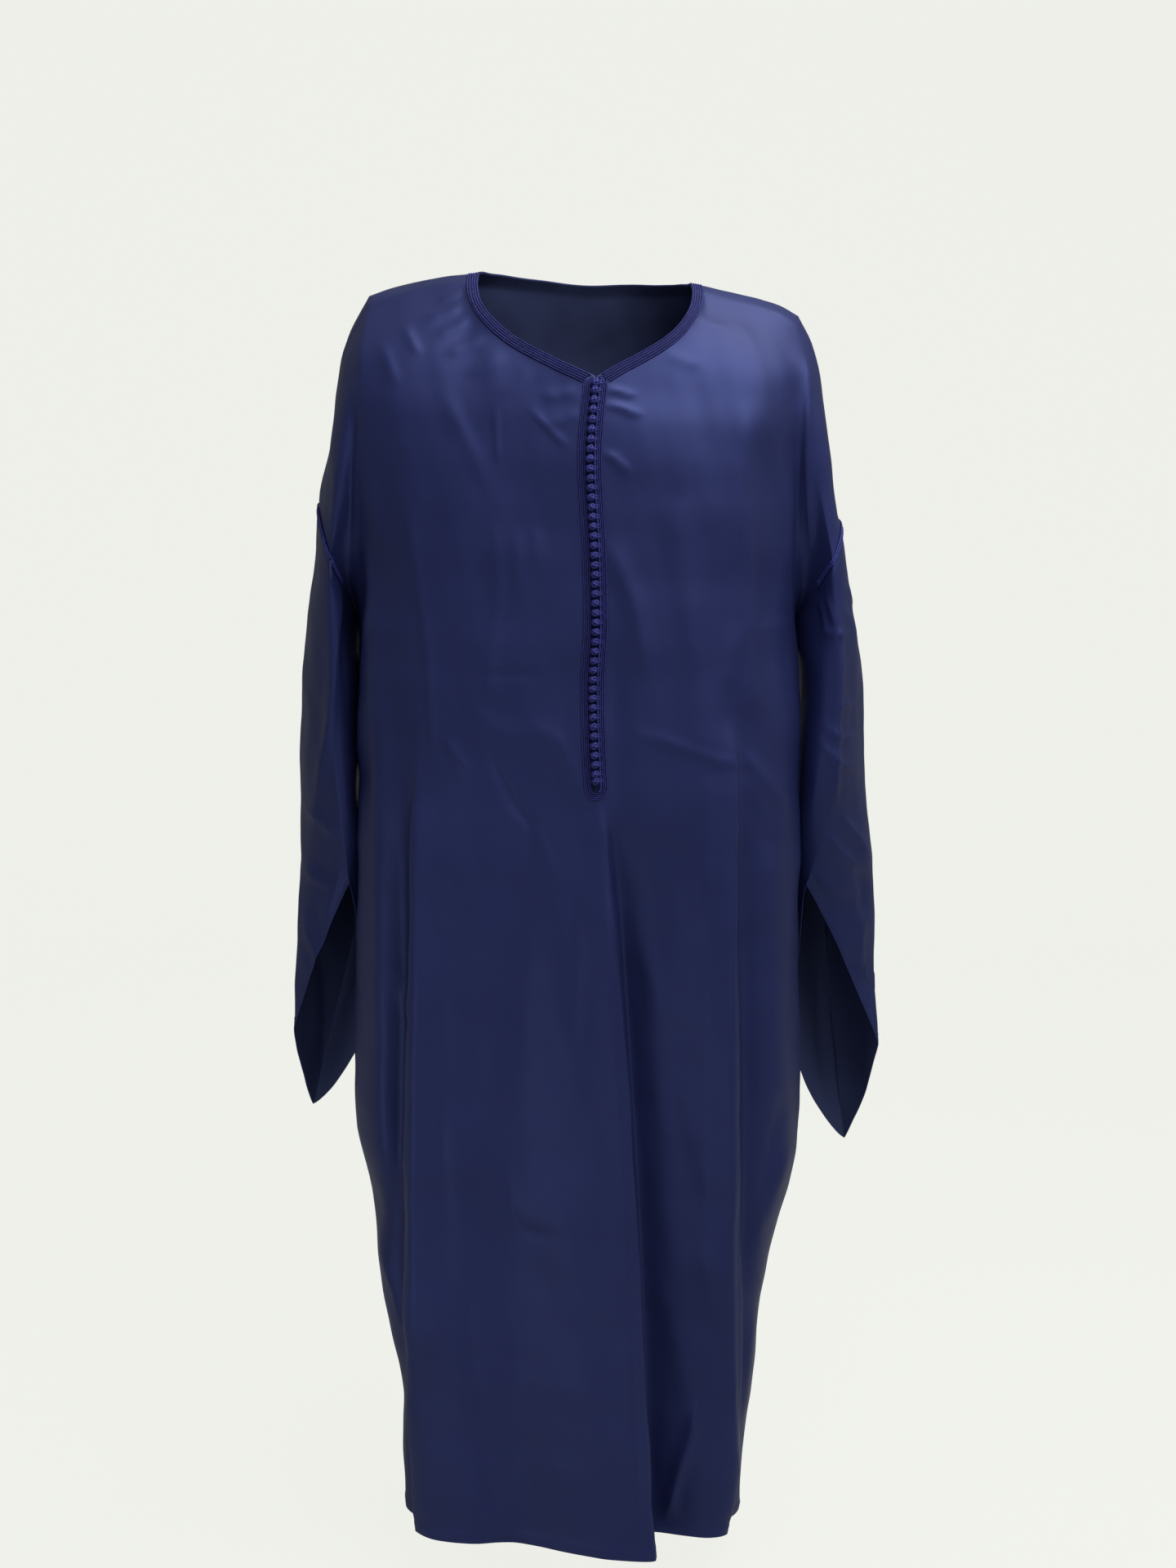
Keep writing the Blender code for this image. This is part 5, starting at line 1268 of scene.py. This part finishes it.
def ballRow():
    # the balls and their loops, on the two edges of the slit
    numbers = np.arange(knots["count"])
    heights = knots["first"] + (knots["last"] - knots["first"]) * numbers / (knots["count"] - 1)
    sides = [fromFront([(slitCentre(z) + way * knots["between"], z) for z in heights], 1) for way in (-1, 1)]
    normals = sides[0][1] + sides[1][1]
    normals /= np.linalg.norm(normals, axis=1)[:, None]
    centres = 0.5 * (sides[0][0] + sides[1][0]) + (knots["radius"] + knots["lift"]) * normals
    up = np.tile([0.0, 0.0, 1.0], (len(centres), 1))
    random = np.random.default_rng(11)
    slant = np.interp(numbers, knots["leanAt"], knots["lean"])
    slant += random.normal(0.0, knots["unevenLean"], len(numbers))
    ball = tubeShape("knot", knotPath(), knots["strand"], True)
    cord = tubeShape("loop", loopPath(), knots["loop"], False)
    rows = []
    for name, shape, size, lean in (("knots", ball, knots["size"], slant),
                                    ("loops", cord, (1.0, 1.0, 1.0), knots["loopLean"] * slant)):
        rows.append(placed(name, pointTree, centres, [], {"outward": normals, "along": up, "lean": lean},
                           {"Shape": shape, "Size": size, "Material": knotThread}))
    return joinedInto(*rows)


knotRow = ballRow()

# double twisted cords over the armhole seams
armCord = {"spread": 0.0021, "height": 0.0012, "pitch": 0.0019, "stitch": (0.0021, 0.0040, 0.0021),
           "lean": math.radians(38), "part": 0.70, "ring": 4}


def armholeCord(which):
    reach = int(armCord["part"] * robe["topRows"])
    ring, below = (np.vstack([ring[-reach:], ring[:reach + 1]])
                   for ring in (sleeves[which][0], sleeves[which][armCord["ring"]]))
    along = (below - ring) / np.linalg.norm(below - ring, axis=1)[:, None]
    lines = [onCloth(ring + step * armCord["spread"] * along, 3) for step in (-1, 1)]
    return stitchRows("armholeCord" + which.capitalize(), lines, [armCord["lean"], -armCord["lean"]], armCord)


armholeCords = {which: armholeCord(which) for which in ("left", "right")}

# running stitches over the hem and the cuffs
stitch = {"pitch": 0.0034, "stitch": (0.00045, 0.0024, 0.00045), "above": 0.0115, "height": 0.0001,
          "cuffRow": -4}


def stitchLines():
    lines = []
    for points in (front, back):
        down = runs(points, 0)
        rise = down[-1] - down
        row = int(np.argmin(np.abs(rise[:, points.shape[1] // 2] - stitch["above"])))
        lines.append((points[row], gridNormals(points)[row]))
    for which, flip in (("left", 1.0), ("right", -1.0)):
        row, normals = sleeves[which][stitch["cuffRow"]], gridNormals(sleeves[which], True)[stitch["cuffRow"]]
        lines.append((np.vstack([row, row[:1]]), np.vstack([normals, normals[:1]]) * flip))
    return lines


hemStitches = stitchRows("hemStitches", stitchLines(), [0.0] * 4, stitch)

# what stands for what

print("handing over")
for node, piece in clothPieces.items():
    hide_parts(node)
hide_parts("neck_braid")
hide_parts("slit_braid")
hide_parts(*[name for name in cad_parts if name.startswith("button_")])
for which, piece in armholeCords.items():
    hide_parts("armhole_cord_" + which)
trims = [neckBraid, slitBraid, knotRow, hemStitches]
for piece in list(clothPieces.values()) + trims + list(armholeCords.values()):
    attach(piece, "root")

# floor, backdrop, light

stage = {"floorZ": -1.50, "back": 4.2, "bend": 1.2, "bendSteps": 13, "height": 4.9, "halfWidth": 7.0,
         "front": -7.0, "colour": (0.60, 0.61, 0.58, 1.0), "roughness": 0.9,
         "glow": (0.93, 0.94, 0.89, 1.0), "glowShare": 0.90,
         "ambient": (0.90, 0.91, 0.93, 1.0), "ambientStrength": 0.285, "lookAt": (0.0, 0.0, -0.55)}


def cameraShare(tree, share, first, second):
    # the first shader, and towards the camera a share of the second
    isCamera = added(tree, "ShaderNodeLightPath").outputs["Is Camera Ray"]
    seen = added(tree, "ShaderNodeMath", {0: isCamera, 1: share}, operation="MULTIPLY").outputs[0]
    return added(tree, "ShaderNodeMixShader", {0: seen, 1: first, 2: second}).outputs[0]


def backdrop():
    # paper that is flat below, bends up far behind and looks evenly pale
    bend, floorZ = stage["bend"], stage["floorZ"]
    profile = [(stage["front"], floorZ)]
    profile += [(stage["back"] - bend + bend * math.sin(a), floorZ + bend - bend * math.cos(a))
                for a in np.linspace(0.0, 0.5 * math.pi, stage["bendSteps"])]
    profile.append((stage["back"], floorZ + stage["height"]))
    vertices = [(x, y, z) for y, z in profile for x in (-stage["halfWidth"], stage["halfWidth"])]
    faces = [(2 * k, 2 * k + 1, 2 * k + 3, 2 * k + 2) for k in range(len(profile) - 1)]
    mesh = bpy.data.meshes.new("floor")
    mesh.from_pydata(vertices, [], faces)
    mesh.shade_smooth()
    material, tree, shader = newMaterial("paper")
    fed(tree, shader, {"Base Color": stage["colour"], "Roughness": stage["roughness"]})
    glow = added(tree, "ShaderNodeEmission", {"Color": stage["glow"]}).outputs[0]
    fed(tree, tree.nodes["Material Output"], {
        "Surface": cameraShare(tree, stage["glowShare"], shader.outputs[0], glow)})
    mesh.materials.append(material)
    floor = bpy.data.objects.new("floor", mesh)
    collection.objects.link(floor)


backdrop()

lights = {
    "key": {"place": (0.65, -1.5, 1.4), "size": 1.5, "power": 10.0, "colour": (1.0, 0.99, 0.97)},
    "fill": {"place": (0.5, -2.4, -1.1), "size": 1.6, "power": 2.0, "colour": (0.97, 0.98, 1.0)},
    "top": {"place": (0.66, -0.50, 1.10), "size": 1.7, "power": 36.0, "colour": (1.0, 1.0, 1.0)},
    "low": {"place": (-0.95, -1.3, -1.40), "size": 0.5, "power": 2.5, "colour": (0.97, 0.98, 1.0)},
}
for name, light in lights.items():
    data = bpy.data.lights.new(name, "AREA")
    data.size = light["size"]
    data.energy = light["power"]
    data.color = light["colour"]
    lamp = bpy.data.objects.new(name, data)
    lamp.location = light["place"]
    x, y, z = np.array(stage["lookAt"]) - np.array(light["place"])
    lamp.rotation_euler = (math.atan2(math.hypot(x, y), -z), 0.0, math.atan2(y, x) - math.radians(90))
    collection.objects.link(lamp)


def studioWorld():
    # soft light from all round, and past the paper's edge its own pale tone
    world = bpy.data.worlds.new("studio")
    world.use_nodes = True
    tree = world.node_tree
    ambient = fed(tree, tree.nodes["Background"], {
        "Color": stage["ambient"], "Strength": stage["ambientStrength"]}).outputs[0]
    beyond = added(tree, "ShaderNodeBackground", {
        "Color": stage["glow"], "Strength": stage["glowShare"]}).outputs[0]
    fed(tree, tree.nodes["World Output"], {"Surface": cameraShare(tree, 1.0, ambient, beyond)})
    return world


scene.world = studioWorld()
scene.view_settings.view_transform = "Standard"
